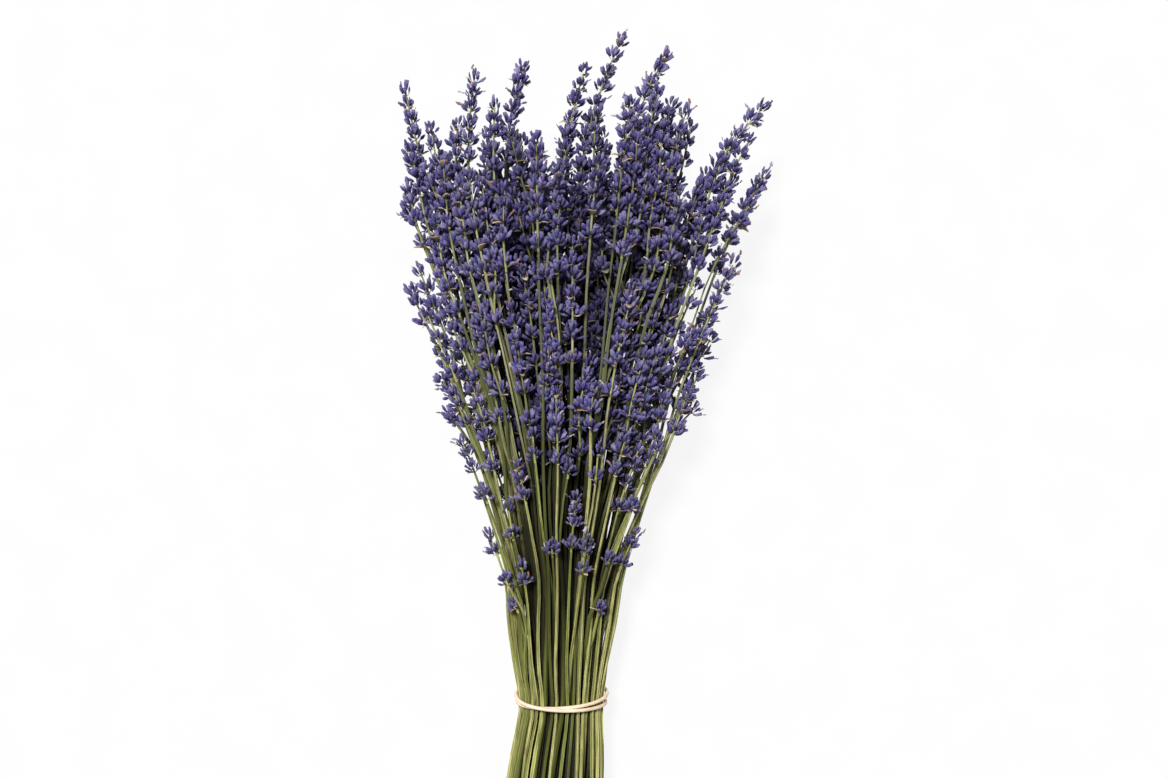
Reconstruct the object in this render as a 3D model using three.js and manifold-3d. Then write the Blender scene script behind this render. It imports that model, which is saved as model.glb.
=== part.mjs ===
// A bunch of dried lavender, held by a doubled rubber band and lying on a table.
// Millimetres. +Y runs from the cut ends to the flower tips, +Z is up, the table is z = 0.
//
// Every sprig has a square green stem and a flower spike of separate whorls. The stems are
// close together at the band and fan out above it. Each spike is a slim stalk with rings of
// pointed calyces raised from it. Spikes that lean on each other are one solid, and so are the
// stems, which are pressed together where the band holds them.

import * as THREE from "three";
import { mergeVertices } from "three/addons/utils/BufferGeometryUtils.js";
import Module from "manifold-3d";

// Size of the bunch, measured from its waist (y = 0), where the band holds it
const cutEnd = { nearest: -70, spread: 15 }; // the stems are cut unevenly
const waist = { halfWidth: 20.2, halfHeight: 13.5 }; // outside of the stems
const flare = { width: 0.15, widthGrowth: 0.00048, height: 0.12, belowBand: 0.1 };
const closing = { start: 180, perMm: 0.0012 }; // the flare ends among the flowers
const packed = { fill: 0.35, reach: 60 }; // the stems crowd outwards where the band holds them
// The middle of the bunch: the heads and the cut ends don't lie straight above the band
const lean = { atBand: 0.2, start: 20, perMm: 0.032, most: 8, belowBand: 0.085 };
const sag = 0.024; // the heads sink to the table by their weight

// Stems: square, as in all the mint family
const stem = { sides: 4, radius: 1.15, topRadius: 0.85, room: 1.3, straightness: 0.8 };
const tieCore = { halfLength: 2.2, inset: 1.5, sides: 20 }; // the packed middle of the bunch
const jointGap = 0.35; // between a stem and the spike on it

// Flower spikes. Room is kept for a spike from a little below its foot to a little above its tip.
const spike = { room: 5.4, partnerRoom: 3.8, aboveTable: 5, roomBelow: 7, roomAbove: 6 };
const axisStep = 8; // between the points of a spike's middle line
const whorl = { every: 11, crowding: 0.8, height: 4.2, footRadius: 1.2, rimRadius: 3.5 };
const calyx = { reach: 7.1, rise: 7, least: 3.8, clear: 0.35, topShare: 0.72 };
const spireLength = 5; // above the last whorl
const bendStart = 12; // a spike's stalk starts to bend this far below its foot

// The spikes that stand clear in the outline: where the tip is, how long the spike is, how far
// its tip bends sideways, and how high it lies in the bunch (-1 lowest, 1 highest)
const outlineSpikes = [
  { x: -70, y: 285, length: 66, bend: -3, lie: 0.15 },
  { x: -37, y: 287, length: 62, bend: 11, lie: 0.5 },
  { x: -15, y: 293, length: 60, bend: 14, lie: 0.35 },
  { x: 12, y: 290, length: 58, bend: 12, lie: 0.55 },
  { x: 29, y: 305, length: 62, bend: 19, lie: 0.3 },
  { x: 49, y: 299, length: 60, bend: 20, lie: 0.25 },
  { x: 31, y: 274, length: 50, bend: 2, lie: 0.8 },
  { x: 56, y: 272, length: 56, bend: 4, lie: 0.5 },
  { x: 95, y: 279, length: 64, bend: 30, lie: 0.1 },
  { x: 96, y: 250, length: 50, bend: 11, lie: -0.1 },
  { x: -9, y: 258, length: 50, bend: 0, lie: 0.98 },
  { x: -50, y: 251, length: 54, bend: 3, lie: 0.55 },
  { x: -64, y: 236, length: 44, bend: -5, lie: -0.15 },
  { x: -66, y: 205, length: 40, bend: -4, lie: 0.2 },
  { x: -57, y: 169, length: 38, bend: -4, lie: 0.05 },
  { x: 80, y: 209, length: 54, bend: 5, lie: 0.2 },
  { x: 71, y: 176, length: 40, bend: 6, lie: -0.2 },
  { x: 67, y: 143, length: 14, bend: 16, lie: 0.15 },
  { x: -45, y: 128, length: 30, bend: -3, lie: 0.35 },
  { x: 43, y: 117, length: 16, bend: 3, lie: 0.1 },
  { x: -34, y: 84, length: 14, bend: -3, lie: 0.15 },
  { x: 40, y: 86, length: 20, bend: 4, lie: 0.4 },
  { x: 8, y: 103, length: 28, bend: 1, lie: 0.97 },
  { x: -20, y: 72, length: 14, bend: -1, lie: 0.9 },
  { x: -22, y: 117, length: 20, bend: -2, lie: 0.85 },
  { x: 32, y: 130, length: 22, bend: 2, lie: 0.9 },
  { x: -3, y: 150, length: 36, bend: 0, lie: 0.98 },
];

// The other spikes lie in pairs that lean on each other
const pairs = { count: 31, rim: 0.9, towardsRim: 0.42, apart: 0.05, seed: 41 };
const pairTips = { highest: 270, scatter: 24, behind: 8, behindScatter: 16 };
const rimTips = { fall: 165, least: 0.1 }; // the tips near the rim are lower, by chance
const pairLength = { least: 52, scatter: 14, lowSpikes: 0.62, shorterBelow: 234, lowest: 100 };
const pairBend = { most: 9, outwards: 0.45 };

// The rubber band: one loop that goes round twice. It crosses over itself on top, where it
// dips towards the cut ends.
const band = { radius: 0.85, gap: 0.3, at: 3, sideways: 2.6, dip: 2.4, hump: 1.85, humpReach: 1 };
const bandCrossing = THREE.MathUtils.degToRad(108);
const bandMesh = { steps: 52, sides: 6 }; // steps in both turns together
const pressedFlat = 0.3; // the band and the lowest calyces are pressed flat on the table
const underTable = { long: 900, thick: 40 };

// The stems settle at these stations along Y
const station = { first: -80, step: 20, count: 21 };
const settling = {
  rounds: 160,
  freeRounds: 30, // the last ones, without smoothing
  smoothing: 0.2,
  strength: 0.45,
  outlineYield: 0.12, // how much a spike in the outline gives way
  heldBelow: 50, // under this height the outline holds every stem in
};

const goldenAngle = Math.PI * (3 - Math.sqrt(5));

function seededRandom(seed) {
  let state = seed;
  return () => {
    state = (state * 1664525 + 1013904223) % 4294967296;
    return state / 4294967296;
  };
}

// The outline of the bunch at a station: an ellipse that rests on the table
function outlineAt(y) {
  const up = Math.max(y, 0);
  const down = Math.max(-y, 0);
  const closed = closing.perMm * Math.max(y - closing.start, 0) ** 2;
  const flared = flare.width * up + flare.widthGrowth * up * up + flare.belowBand * down;
  const halfWidth = waist.halfWidth + flared - closed;
  const halfHeight = waist.halfHeight + flare.height * up + flare.belowBand * 0.5 * down;
  const leaning = Math.min(Math.max(y - lean.start, 0) * lean.perMm, lean.most);
  const middle = lean.atBand + leaning - lean.belowBand * down;
  const tableGap = band.gap + 2 * band.radius - pressedFlat;
  return { middle, halfWidth, halfHeight, height: halfHeight + tableGap - sag * up };
}

function stationY(index) {
  return station.first + station.step * index;
}

// How much of the tip's sideways bend a sprig has at y
function bendAt(sprig, y) {
  const reach = sprig.tipY - sprig.baseY + bendStart;
  const along = Math.max((y - sprig.baseY + bendStart) / reach, 0);
  return sprig.bend * Math.min(along * along, 1.6);
}

function makeSprig(across, lie, tipY, length, bend, node, outline) {
  return { across, lie, tipY, baseY: tipY - length, bend, node, outline };
}

function layOutSprigs() {
  const sprigs = [];
  for (const [index, tip] of outlineSpikes.entries()) {
    const at = outlineAt(tip.y);
    const across = (tip.x - tip.bend - at.middle) / (at.halfWidth - stem.radius);
    sprigs.push(makeSprig(across, tip.lie, tip.y, tip.length, tip.bend, index, true));
  }
  const random = seededRandom(pairs.seed);
  for (let pair = 0; pair < pairs.count; pair++) {
    const fromMiddle = pairs.rim * Math.pow((pair + 0.5) / pairs.count, pairs.towardsRim);
    const turn = pair * goldenAngle;
    const towards = random() * Math.PI;
    const fall = rimTips.fall * fromMiddle * fromMiddle * (rimTips.least + random());
    let tipY = pairTips.highest - pairTips.scatter * random() - fall;
    for (const side of [1, -1]) {
      const across = fromMiddle * Math.cos(turn) + side * pairs.apart * Math.cos(towards);
      const lie = fromMiddle * Math.sin(turn) + side * pairs.apart * Math.sin(towards);
      const { lowest, shorterBelow, lowSpikes } = pairLength;
      const high = Math.min((tipY - lowest) / (shorterBelow - lowest), 1);
      const share = lowSpikes + (1 - lowSpikes) * high;
      const length = share * (pairLength.least + pairLength.scatter * random());
      const bend = pairBend.most * (random() - 0.5 + pairBend.outwards * across);
      const node = outlineSpikes.length + pair;
      sprigs.push(makeSprig(across, lie, tipY, length, bend, node, false));
      tipY -= pairTips.behind + pairTips.behindScatter * random();
    }
  }
  const ends = seededRandom(pairs.seed + 1);
  for (const sprig of sprigs) {
    sprig.cutY = cutEnd.nearest - cutEnd.spread * ends();
    sprig.turn = 2 * Math.PI * ends();
  }
  return sprigs;
}

// Half the room that a sprig needs at y, or 0 above its tip
function roomAt(sprig, y) {
  if (y > sprig.tipY + spike.roomAbove) return 0;
  return y > sprig.baseY - spike.roomBelow ? spike.room : stem.room;
}

// Pushes the sprigs apart at every station, so that no stem runs through a spike
function settle(sprigs) {
  const count = sprigs.length;
  for (const sprig of sprigs) {
    sprig.start = [];
    sprig.moved = [];
    for (let s = 0; s < station.count; s++) {
      const y = stationY(s);
      const at = outlineAt(y);
      const fill = 1 + packed.fill * Math.max(1 - Math.abs(y) / packed.reach, 0);
      const x = at.middle + sprig.across * fill * (at.halfWidth - stem.radius) + bendAt(sprig, y);
      const z = at.height + sprig.lie * fill * (at.halfHeight - stem.radius);
      sprig.start.push([x, z]);
      sprig.moved.push([0, 0]);
    }
  }
  for (let round = 0; round < settling.rounds; round++) {
    for (let s = 0; s < station.count; s++) {
      const y = stationY(s);
      const at = outlineAt(y);
      const room = sprigs.map((sprig) => roomAt(sprig, y));
      const x = sprigs.map((sprig) => sprig.start[s][0] + sprig.moved[s][0]);
      const z = sprigs.map((sprig) => sprig.start[s][1] + sprig.moved[s][1]);
      const push = sprigs.map(() => [0, 0]);
      for (let i = 0; i < count; i++) {
        for (let j = i + 1; j < count; j++) {
          if (room[i] === 0 || room[j] === 0) continue;
          const partners = sprigs[i].node === sprigs[j].node;
          const bothSpikes = room[i] === spike.room && room[j] === spike.room;
          const leaning = partners && bothSpikes;
          const need = leaning ? 2 * spike.partnerRoom : room[i] + room[j];
          const dx = x[j] - x[i];
          const dz = z[j] - z[i];
          const apart = Math.sqrt(dx * dx + dz * dz) + 1e-9;
          if (apart >= need && !leaning) continue;
          const yieldI = sprigs[i].outline ? settling.outlineYield : 1;
          const yieldJ = sprigs[j].outline ? settling.outlineYield : 1;
          const share = (settling.strength * (need - apart)) / apart / (yieldI + yieldJ);
          push[i][0] -= dx * share * yieldI;
          push[i][1] -= dz * share * yieldI;
          push[j][0] += dx * share * yieldJ;
          push[j][1] += dz * share * yieldJ;
        }
      }
      for (let i = 0; i < count; i++) {
        let px = x[i] + push[i][0] - at.middle;
        let pz = z[i] + push[i][1] - at.height;
        const wide = at.halfWidth - stem.radius;
        const tall = at.halfHeight - stem.radius;
        const out = Math.sqrt((px / wide) ** 2 + (pz / tall) ** 2);
        if (out > 1 && !(sprigs[i].outline && y > settling.heldBelow)) {
          px /= out;
          pz /= out;
        }
        const floor = room[i] === spike.room ? spike.aboveTable : stem.radius + jointGap;
        const settledZ = Math.max(pz + at.height, floor);
        sprigs[i].moved[s] = [
          px + at.middle - sprigs[i].start[s][0],
          settledZ - sprigs[i].start[s][1],
        ];
      }
    }
    if (round < settling.rounds - settling.freeRounds) smoothAlong(sprigs);
  }
}

function smoothAlong(sprigs) {
  for (const sprig of sprigs) {
    const before = sprig.moved.map((move) => [...move]);
    for (let s = 1; s < station.count - 1; s++) {
      for (const axis of [0, 1]) {
        const middle = (before[s - 1][axis] + before[s + 1][axis]) / 2;
        sprig.moved[s][axis] += settling.smoothing * (middle - before[s][axis]);
      }
    }
  }
}

// The point of a sprig at y, on straight lines between the stations
function pointAt(sprig, y) {
  const along = (y - station.first) / station.step;
  const s = Math.min(Math.max(Math.floor(along), 0), station.count - 2);
  const t = along - s;
  const mix = (axis) =>
    (1 - t) * (sprig.start[s][axis] + sprig.moved[s][axis]) +
    t * (sprig.start[s + 1][axis] + sprig.moved[s + 1][axis]);
  return new THREE.Vector3(mix(0), y, mix(1));
}

// Leaves out the points of a line that lie close to the straight way between the kept ones
function simplify(points, tolerance) {
  if (points.length < 3) return points;
  const line = new THREE.Line3(points[0], points.at(-1));
  const nearest = new THREE.Vector3();
  let far = 0;
  let split = 0;
  for (let i = 1; i < points.length - 1; i++) {
    const off = line.closestPointToPoint(points[i], true, nearest).distanceTo(points[i]);
    if (off > far) {
      far = off;
      split = i;
    }
  }
  if (far < tolerance) return [points[0], points.at(-1)];
  const before = simplify(points.slice(0, split + 1), tolerance);
  return [...before, ...simplify(points.slice(split), tolerance).slice(1)];
}

// Two directions square to a tangent
function squareTo(tangent) {
  const right = new THREE.Vector3().crossVectors(tangent, new THREE.Vector3(0, 0, 1)).normalize();
  return { right, other: new THREE.Vector3().crossVectors(tangent, right) };
}

function ringPoints(centre, tangent, radius, sides, turn) {
  const { right, other } = squareTo(tangent);
  const ring = [];
  for (let side = 0; side < sides; side++) {
    const angle = turn + (2 * Math.PI * side) / sides;
    ring.push(
      centre
        .clone()
        .addScaledVector(right, radius * Math.cos(angle))
        .addScaledVector(other, radius * Math.sin(angle)),
    );
  }
  return ring;
}

// Collects points and triangles into a closed three.js geometry
class Surface {
  constructor() {
    this.points = [];
    this.triangles = [];
  }

  add(points) {
    const first = this.points.length;
    this.points.push(...points);
    return points.map((_, index) => first + index);
  }

  face(...corners) {
    for (let i = 2; i < corners.length; i++) {
      this.triangles.push(corners[0], corners[i - 1], corners[i]);
    }
  }

  join(lower, upper) {
    for (let i = 0; i < lower.length; i++) {
      const next = (i + 1) % lower.length;
      this.face(lower[i], lower[next], upper[next], upper[i]);
    }
  }

  raise(corners, tip) {
    const [point] = this.add([tip]);
    corners.forEach((corner, index) => {
      this.face(corner, corners[(index + 1) % corners.length], point);
    });
  }

  geometry() {
    const made = new THREE.BufferGeometry().setFromPoints(this.points);
    made.setIndex(this.triangles);
    return made;
  }
}

function tubeGeometry(rings) {
  const surface = new Surface();
  const placed = rings.map((ring) => surface.add(ring));
  placed.slice(1).forEach((ring, index) => surface.join(placed[index], ring));
  surface.face(...[...placed[0]].reverse());
  surface.face(...placed.at(-1));
  return surface.geometry();
}

function stemLine(sprig) {
  const points = [pointAt(sprig, sprig.cutY)];
  for (let s = 0; s < station.count; s++) {
    const y = stationY(s);
    if (y > sprig.cutY + 5 && y < sprig.baseY - 8) points.push(pointAt(sprig, y));
  }
  const top = pointAt(sprig, sprig.baseY);
  const direction = axisDirection(sprig, sprig.baseY);
  points.push(top.addScaledVector(direction, -jointGap));
  const band = points.findIndex((point) => Math.abs(point.y) < 1);
  const below = simplify(points.slice(0, band + 1), stem.straightness);
  return [...below, ...simplify(points.slice(band), stem.straightness).slice(1)];
}

function stemGeometry(sprig) {
  const rings = sprig.line.map((point, index) => {
    const last = index === sprig.line.length - 1;
    const tangent = last ? axisDirection(sprig, sprig.baseY) : new THREE.Vector3(0, 1, 0);
    const high = Math.max(point.y, 0) / Math.max(sprig.baseY, 1);
    const radius = THREE.MathUtils.lerp(stem.radius, stem.topRadius, high);
    return ringPoints(point, tangent, radius, stem.sides, sprig.turn);
  });
  return tubeGeometry(rings);
}

function axisDirection(sprig, y) {
  return pointAt(sprig, y + 6).sub(pointAt(sprig, y - 6)).normalize();
}

function distanceToLine(point, line) {
  let least = Infinity;
  const nearest = new THREE.Vector3();
  for (let i = 1; i < line.length; i++) {
    const part = new THREE.Line3(line[i - 1], line[i]);
    least = Math.min(least, part.closestPointToPoint(point, true, nearest).distanceTo(point));
  }
  return least;
}

// A calyx from root to tip is clear if it stays on its own side of every other spike, and off
// every stem
function calyxIsClear(root, tip, reach, sprig, sprigs) {
  for (const other of sprigs) {
    if (other === sprig) continue;
    if (other.node !== sprig.node) {
      if (distanceToLine(tip, other.axis) < reach + calyx.clear) return false;
    }
    for (const share of [0.45, 0.75, 1]) {
      const point = root.clone().lerp(tip, share);
      const thick = whorl.footRadius * (1 - share);
      if (distanceToLine(point, other.line) < stem.radius + thick + calyx.clear) return false;
    }
  }
  return true;
}

// The tip of a calyx, or nothing where a neighbour leaves no room for one
function calyxTip(foot, tangent, outwards, fullReach, sprig, sprigs) {
  for (let reach = fullReach; reach > calyx.least; reach *= 0.88) {
    const tip = foot
      .clone()
      .addScaledVector(outwards, reach)
      .addScaledVector(tangent, whorl.height * 0.5 + (calyx.rise * reach) / calyx.reach);
    const root = foot.clone().addScaledVector(tangent, whorl.height * 0.5);
    if (calyxIsClear(root, tip, reach, sprig, sprigs)) return tip;
  }
  return null;
}

// A stack of cups, each with a pointed calyx raised from every side
function spikeGeometry(sprig, sprigs, turn) {
  const surface = new Surface();
  const length = sprig.tipY - sprig.baseY;
  const whorls = Math.max(2, Math.round(length / whorl.every));
  let below = null;
  for (let index = 0; index < whorls; index++) {
    const up = Math.pow(index / (whorls - 0.45), whorl.crowding);
    const y = sprig.baseY + (length - spireLength) * up;
    const tangent = axisDirection(sprig, y);
    const angle = turn + (index * Math.PI) / stem.sides;
    const size = THREE.MathUtils.lerp(1, calyx.topShare, up * up);
    const foot = pointAt(sprig, y);
    const rim = foot.clone().addScaledVector(tangent, whorl.height);
    const lower = surface.add(ringPoints(foot, tangent, whorl.footRadius, stem.sides, angle));
    const rimRadius = whorl.rimRadius * size;
    const upper = surface.add(ringPoints(rim, tangent, rimRadius, stem.sides, angle));
    if (below) joinTwisted(surface, below, lower);
    else surface.face(...[...lower].reverse());
    const { right, other } = squareTo(tangent);
    for (let side = 0; side < stem.sides; side++) {
      const next = (side + 1) % stem.sides;
      const corners = [lower[side], lower[next], upper[next], upper[side]];
      const facing = angle + ((side + 0.5) * 2 * Math.PI) / stem.sides;
      const outwards = right
        .clone()
        .multiplyScalar(Math.cos(facing))
        .addScaledVector(other, Math.sin(facing));
      const tip = calyxTip(foot, tangent, outwards, calyx.reach * size, sprig, sprigs);
      if (tip) surface.raise(corners, tip);
      else surface.face(...corners);
    }
    below = upper;
  }
  surface.raise(below, pointAt(sprig, sprig.tipY));
  return surface.geometry();
}

// The bare stalk between two whorls, whose calyces alternate
function joinTwisted(surface, lower, upper) {
  for (let i = 0; i < lower.length; i++) {
    const next = (i + 1) % lower.length;
    surface.face(lower[i], lower[next], upper[i]);
    surface.face(lower[next], upper[next], upper[i]);
  }
}

// The middle line of the rubber band. It goes round twice as the turn grows by four half turns.
function bandPoint(turn) {
  const sinceCrossing = turn - bandCrossing;
  const climb = (Math.abs(sinceCrossing) * Math.PI) / (2 * band.humpReach);
  const hump = climb < Math.PI / 2 ? band.hump * Math.cos(climb) : 0;
  const off = band.gap + (1 + flare.width) * band.radius + hump;
  const sideways = band.sideways * Math.sin(sinceCrossing / 2);
  const y = band.at + sideways - band.dip * Math.sin(turn);
  const at = outlineAt(y);
  const x = at.middle + (at.halfWidth + off) * Math.cos(turn);
  return new THREE.Vector3(x, y, at.height + (at.halfHeight + off) * Math.sin(turn));
}

function bandGeometry() {
  const surface = new Surface();
  const rings = [];
  for (let step = 0; step < bandMesh.steps; step++) {
    const turn = bandCrossing - 2 * Math.PI + (4 * Math.PI * step) / bandMesh.steps;
    const centre = bandPoint(turn);
    const tangent = bandPoint(turn + 0.01).sub(bandPoint(turn - 0.01)).normalize();
    const side = new THREE.Vector3(0, 1, 0);
    side.addScaledVector(tangent, -side.dot(tangent)).normalize();
    const outwards = new THREE.Vector3().crossVectors(side, tangent);
    const ring = [];
    for (let corner = 0; corner < bandMesh.sides; corner++) {
      const angle = (2 * Math.PI * (corner + 0.5)) / bandMesh.sides;
      ring.push(
        centre
          .clone()
          .addScaledVector(side, band.radius * Math.cos(angle))
          .addScaledVector(outwards, -band.radius * Math.sin(angle)),
      );
    }
    rings.push(surface.add(ring));
  }
  rings.forEach((ring, index) => surface.join(ring, rings[(index + 1) % rings.length]));
  return surface.geometry();
}

const wasm = await Module();
wasm.setup();

function toSolid(geometry) {
  return new wasm.Manifold(
    new wasm.Mesh({
      numProp: 3,
      vertProperties: new Float32Array(geometry.getAttribute("position").array),
      triVerts: new Uint32Array(geometry.index.array),
    }),
  );
}

function toGeometry(solid) {
  const mesh = solid.getMesh();
  const made = new THREE.BufferGeometry();
  made.setAttribute("position", new THREE.BufferAttribute(mesh.vertProperties, 3));
  made.setIndex(new THREE.BufferAttribute(mesh.triVerts, 1));
  made.computeVertexNormals();
  return made;
}

function joinAll(solids) {
  return solids.reduce((whole, solid) => whole.add(solid));
}

// What would reach below the table is pressed flat against it
function restOnTable(solid) {
  const { long, thick } = underTable;
  const block = new THREE.BoxGeometry(long, long, thick).translate(0, 0, -thick / 2);
  block.deleteAttribute("normal");
  block.deleteAttribute("uv");
  return solid.subtract(toSolid(mergeVertices(block)));
}

const sprigs = layOutSprigs();
settle(sprigs);
for (const sprig of sprigs) {
  sprig.line = stemLine(sprig);
  sprig.axis = [];
  for (let y = sprig.baseY; y < sprig.tipY; y += axisStep) sprig.axis.push(pointAt(sprig, y));
  sprig.axis.push(pointAt(sprig, sprig.tipY));
}

const colours = {
  stem: new THREE.MeshStandardMaterial({ color: 0x8f9455, roughness: 0.75 }),
  spike: new THREE.MeshStandardMaterial({ color: 0x4b4378, roughness: 0.85 }),
  band: new THREE.MeshStandardMaterial({ color: 0xecd3a8, roughness: 0.6 }),
};

const bunch = new THREE.Group();

function addNode(name, solid, material) {
  const mesh = new THREE.Mesh(toGeometry(restOnTable(solid)), material);
  mesh.name = name;
  bunch.add(mesh);
}

function makeStems() {
  const at = outlineAt(0);
  const { halfLength, inset, sides } = tieCore;
  const core = [-halfLength, halfLength].map((y) => {
    const ring = [];
    for (let side = 0; side < sides; side++) {
      const angle = (-2 * Math.PI * side) / sides;
      const x = at.middle + (at.halfWidth - inset) * Math.cos(angle);
      const z = at.height + (at.halfHeight - inset) * Math.sin(angle);
      ring.push(new THREE.Vector3(x, y, z));
    }
    return ring;
  });
  const stems = sprigs.map((sprig) => toSolid(stemGeometry(sprig)));
  return joinAll([toSolid(tubeGeometry(core)), ...stems]);
}

// A spike by itself, or two that lean on each other. The second is turned about its own stalk
// until its calyces reach into the first.
function makeSpikes(members) {
  const mostTries = 24;
  for (let tries = 0; tries < mostTries; tries++) {
    const turned = (tries * Math.PI) / mostTries;
    const solids = members.map((sprig, index) =>
      toSolid(spikeGeometry(sprig, sprigs, sprig.turn + index * turned)),
    );
    const whole = joinAll(solids);
    if (whole.decompose().length === 1) return whole;
  }
  throw new Error("the spikes of node " + members[0].node + " don't touch");
}

addNode("stems", makeStems(), colours.stem);
for (let node = 0; node < outlineSpikes.length + pairs.count; node++) {
  const members = sprigs.filter((sprig) => sprig.node === node);
  const name = (members.length > 1 ? "spike_pair_" : "spike_") + String(node + 1).padStart(2, "0");
  addNode(name, makeSpikes(members), colours.spike);
}
addNode("rubber_band", toSolid(bandGeometry()), colours.band);

// The origin is under the middle of the bunch, on the table
const size = new THREE.Box3().setFromObject(bunch);
const middle = size.getCenter(new THREE.Vector3());
bunch.position.set(-middle.x, -middle.y, -size.min.z);

export default bunch;
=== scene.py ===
import math

import bpy
import numpy as np
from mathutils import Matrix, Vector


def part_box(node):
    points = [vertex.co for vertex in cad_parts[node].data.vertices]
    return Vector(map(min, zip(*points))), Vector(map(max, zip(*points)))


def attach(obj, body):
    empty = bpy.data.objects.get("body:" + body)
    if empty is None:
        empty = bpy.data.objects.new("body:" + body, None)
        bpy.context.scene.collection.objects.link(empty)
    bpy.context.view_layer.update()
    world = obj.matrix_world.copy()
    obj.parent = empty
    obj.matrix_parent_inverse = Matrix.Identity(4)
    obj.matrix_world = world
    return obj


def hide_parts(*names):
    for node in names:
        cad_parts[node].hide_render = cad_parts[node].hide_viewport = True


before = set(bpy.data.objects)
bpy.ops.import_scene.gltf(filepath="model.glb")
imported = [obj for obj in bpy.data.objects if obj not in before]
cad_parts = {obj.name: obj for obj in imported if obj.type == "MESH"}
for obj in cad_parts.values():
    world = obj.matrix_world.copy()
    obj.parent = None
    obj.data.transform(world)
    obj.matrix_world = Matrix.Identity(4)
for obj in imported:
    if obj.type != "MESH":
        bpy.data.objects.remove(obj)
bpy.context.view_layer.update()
mm = 0.001
print("frame loaded:", len(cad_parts), "nodes")

# the lie of the bunch, in millimetres from its waist, with the numbers of the solids
bunch = {
    "waistHalfWidth": 20.2,
    "waistHalfHeight": 13.5,
    "flareWidth": 0.15,
    "flareGrowth": 0.00048,
    "flareHeight": 0.12,
    "flareBelow": 0.1,
    "closing": 0.0012,
    "closingStart": 180.0,
    "waistFill": 0.35,
    "waistReach": 60.0,
    "leanBelow": 0.085,
    "middleAtBand": 0.2,
    "leanStart": 20.0,
    "leanPerMm": 0.032,
    "leanMost": 8.0,
    "sag": 0.024,
    "cutNearest": -70.0,
    "cutSpread": 15.0,
    "stemRadius": 1.15,
    "stemGap": 0.35,
    "bendStart": 12.0,
    "bendMost": 1.6,
    # painted shade inside the bunch begins at litRim of the outline and darkens fully over a
    # further litAtWaist at the waist, litDepth from litFrom up
    "litRim": 0.90,
    "litDepth": 0.24,
    "litAtWaist": 0.11,
    "litFrom": 130.0,
    "openEnd": 268.0,
    "openOver": 68.0,
    "paleFrom": 70.0,
    "paleTo": 190.0,
    "seed": 41,
}

# tip x, tip y, length of the spike, sideways bend, height in the bunch (-1 lowest, 1 highest)
outlineSpikes = [
    (-70, 285, 66, -3, 0.15), (-37, 287, 62, 11, 0.5), (-15, 293, 60, 14, 0.35),
    (12, 290, 58, 12, 0.55), (29, 305, 62, 19, 0.3), (49, 299, 60, 20, 0.25),
    (31, 274, 50, 2, 0.8), (56, 272, 56, 4, 0.5), (95, 279, 64, 30, 0.1),
    (96, 250, 50, 11, -0.1), (-9, 258, 50, 0, 0.98), (-50, 251, 54, 3, 0.55),
    (-64, 236, 44, -5, -0.15), (-66, 205, 40, -4, 0.2), (-57, 169, 38, -4, 0.05),
    (80, 209, 54, 5, 0.2), (71, 176, 40, 6, -0.2), (67, 143, 14, 16, 0.15),
    (-45, 128, 30, -3, 0.35), (43, 117, 16, 3, 0.1), (-34, 84, 14, -3, 0.15),
    (40, 86, 20, 4, 0.4), (8, 103, 28, 1, 0.97), (-20, 72, 14, -1, 0.9),
    (-22, 117, 20, -2, 0.85), (32, 130, 22, 2, 0.9), (-3, 150, 36, 0, 0.98),
]

# the other spikes lie in pairs
pairs = {
    "count": 31,
    "rim": 0.9,
    "towardsRim": 0.42,
    "apart": 0.05,
    "tipHighest": 270.0,
    "tipScatter": 24.0,
    "rimFall": 165.0,
    "leastFall": 0.1,
    "behind": 8.0,
    "behindScatter": 16.0,
    "leastLength": 52.0,
    "lengthScatter": 14.0,
    "lowShare": 0.62,
    "shorterBelow": 234.0,
    "lowest": 100.0,
    "bendMost": 9.0,
    "bendOutwards": 0.45,
}

# how the sprigs push each other apart at each station along the bunch
settling = {
    "first": -80.0,
    "step": 20.0,
    "stations": 21,
    "rounds": 160,
    "freeRounds": 30,
    "smoothing": 0.2,
    "strength": 0.45,
    "outlineYield": 0.12,
    "heldBelow": 50.0,
    "stemRoom": 1.3,
    "spikeRoom": 5.4,
    "partnerRoom": 3.8,
    "aboveTable": 5.0,
    "roomBelow": 7.0,
    "roomAbove": 6.0,
}

rubberBand = {
    "radius": 0.85,
    "gap": 0.3,
    "at": 3.0,
    "sideways": 2.6,
    "dip": 2.4,
    "hump": 1.85,
    "humpReach": 1.0,
    "crossing": math.radians(108),
    "solidSteps": 52,
    "solidSides": 6,
    "pressedFlat": 0.3,
    "hugs": 0.8,
    "steps": 480,
    "sides": 10,
}

goldenAngle = math.pi * (3 - math.sqrt(5))


def diceFrom(seed):
    state = seed
    while True:
        state = (state * 1664525 + 1013904223) % 4294967296
        yield state / 4294967296


def outlineAt(y):
    y = np.asarray(y, float)
    up = np.maximum(y, 0)
    down = np.maximum(-y, 0)
    closing = bunch["closing"] * np.maximum(y - bunch["closingStart"], 0) ** 2
    halfWidth = (bunch["waistHalfWidth"] + bunch["flareWidth"] * up
                 + bunch["flareGrowth"] * up * up - closing + bunch["flareBelow"] * down)
    halfHeight = (bunch["waistHalfHeight"] + bunch["flareHeight"] * up
                  + bunch["flareBelow"] / 2 * down)
    lean = np.maximum(y - bunch["leanStart"], 0) * bunch["leanPerMm"]
    lean = np.minimum(lean, bunch["leanMost"])
    middle = bunch["middleAtBand"] + lean - bunch["leanBelow"] * down
    tableGap = rubberBand["gap"] + 2 * rubberBand["radius"] - rubberBand["pressedFlat"]
    return middle, halfWidth, halfHeight, halfHeight + tableGap - bunch["sag"] * up


def makeSprig(across, lie, tipY, length, bend, node, outline):
    return {"across": across, "lie": lie, "tipY": tipY, "baseY": tipY - length,
            "bend": bend, "node": node, "outline": outline, "inwards": 0.0}


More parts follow.
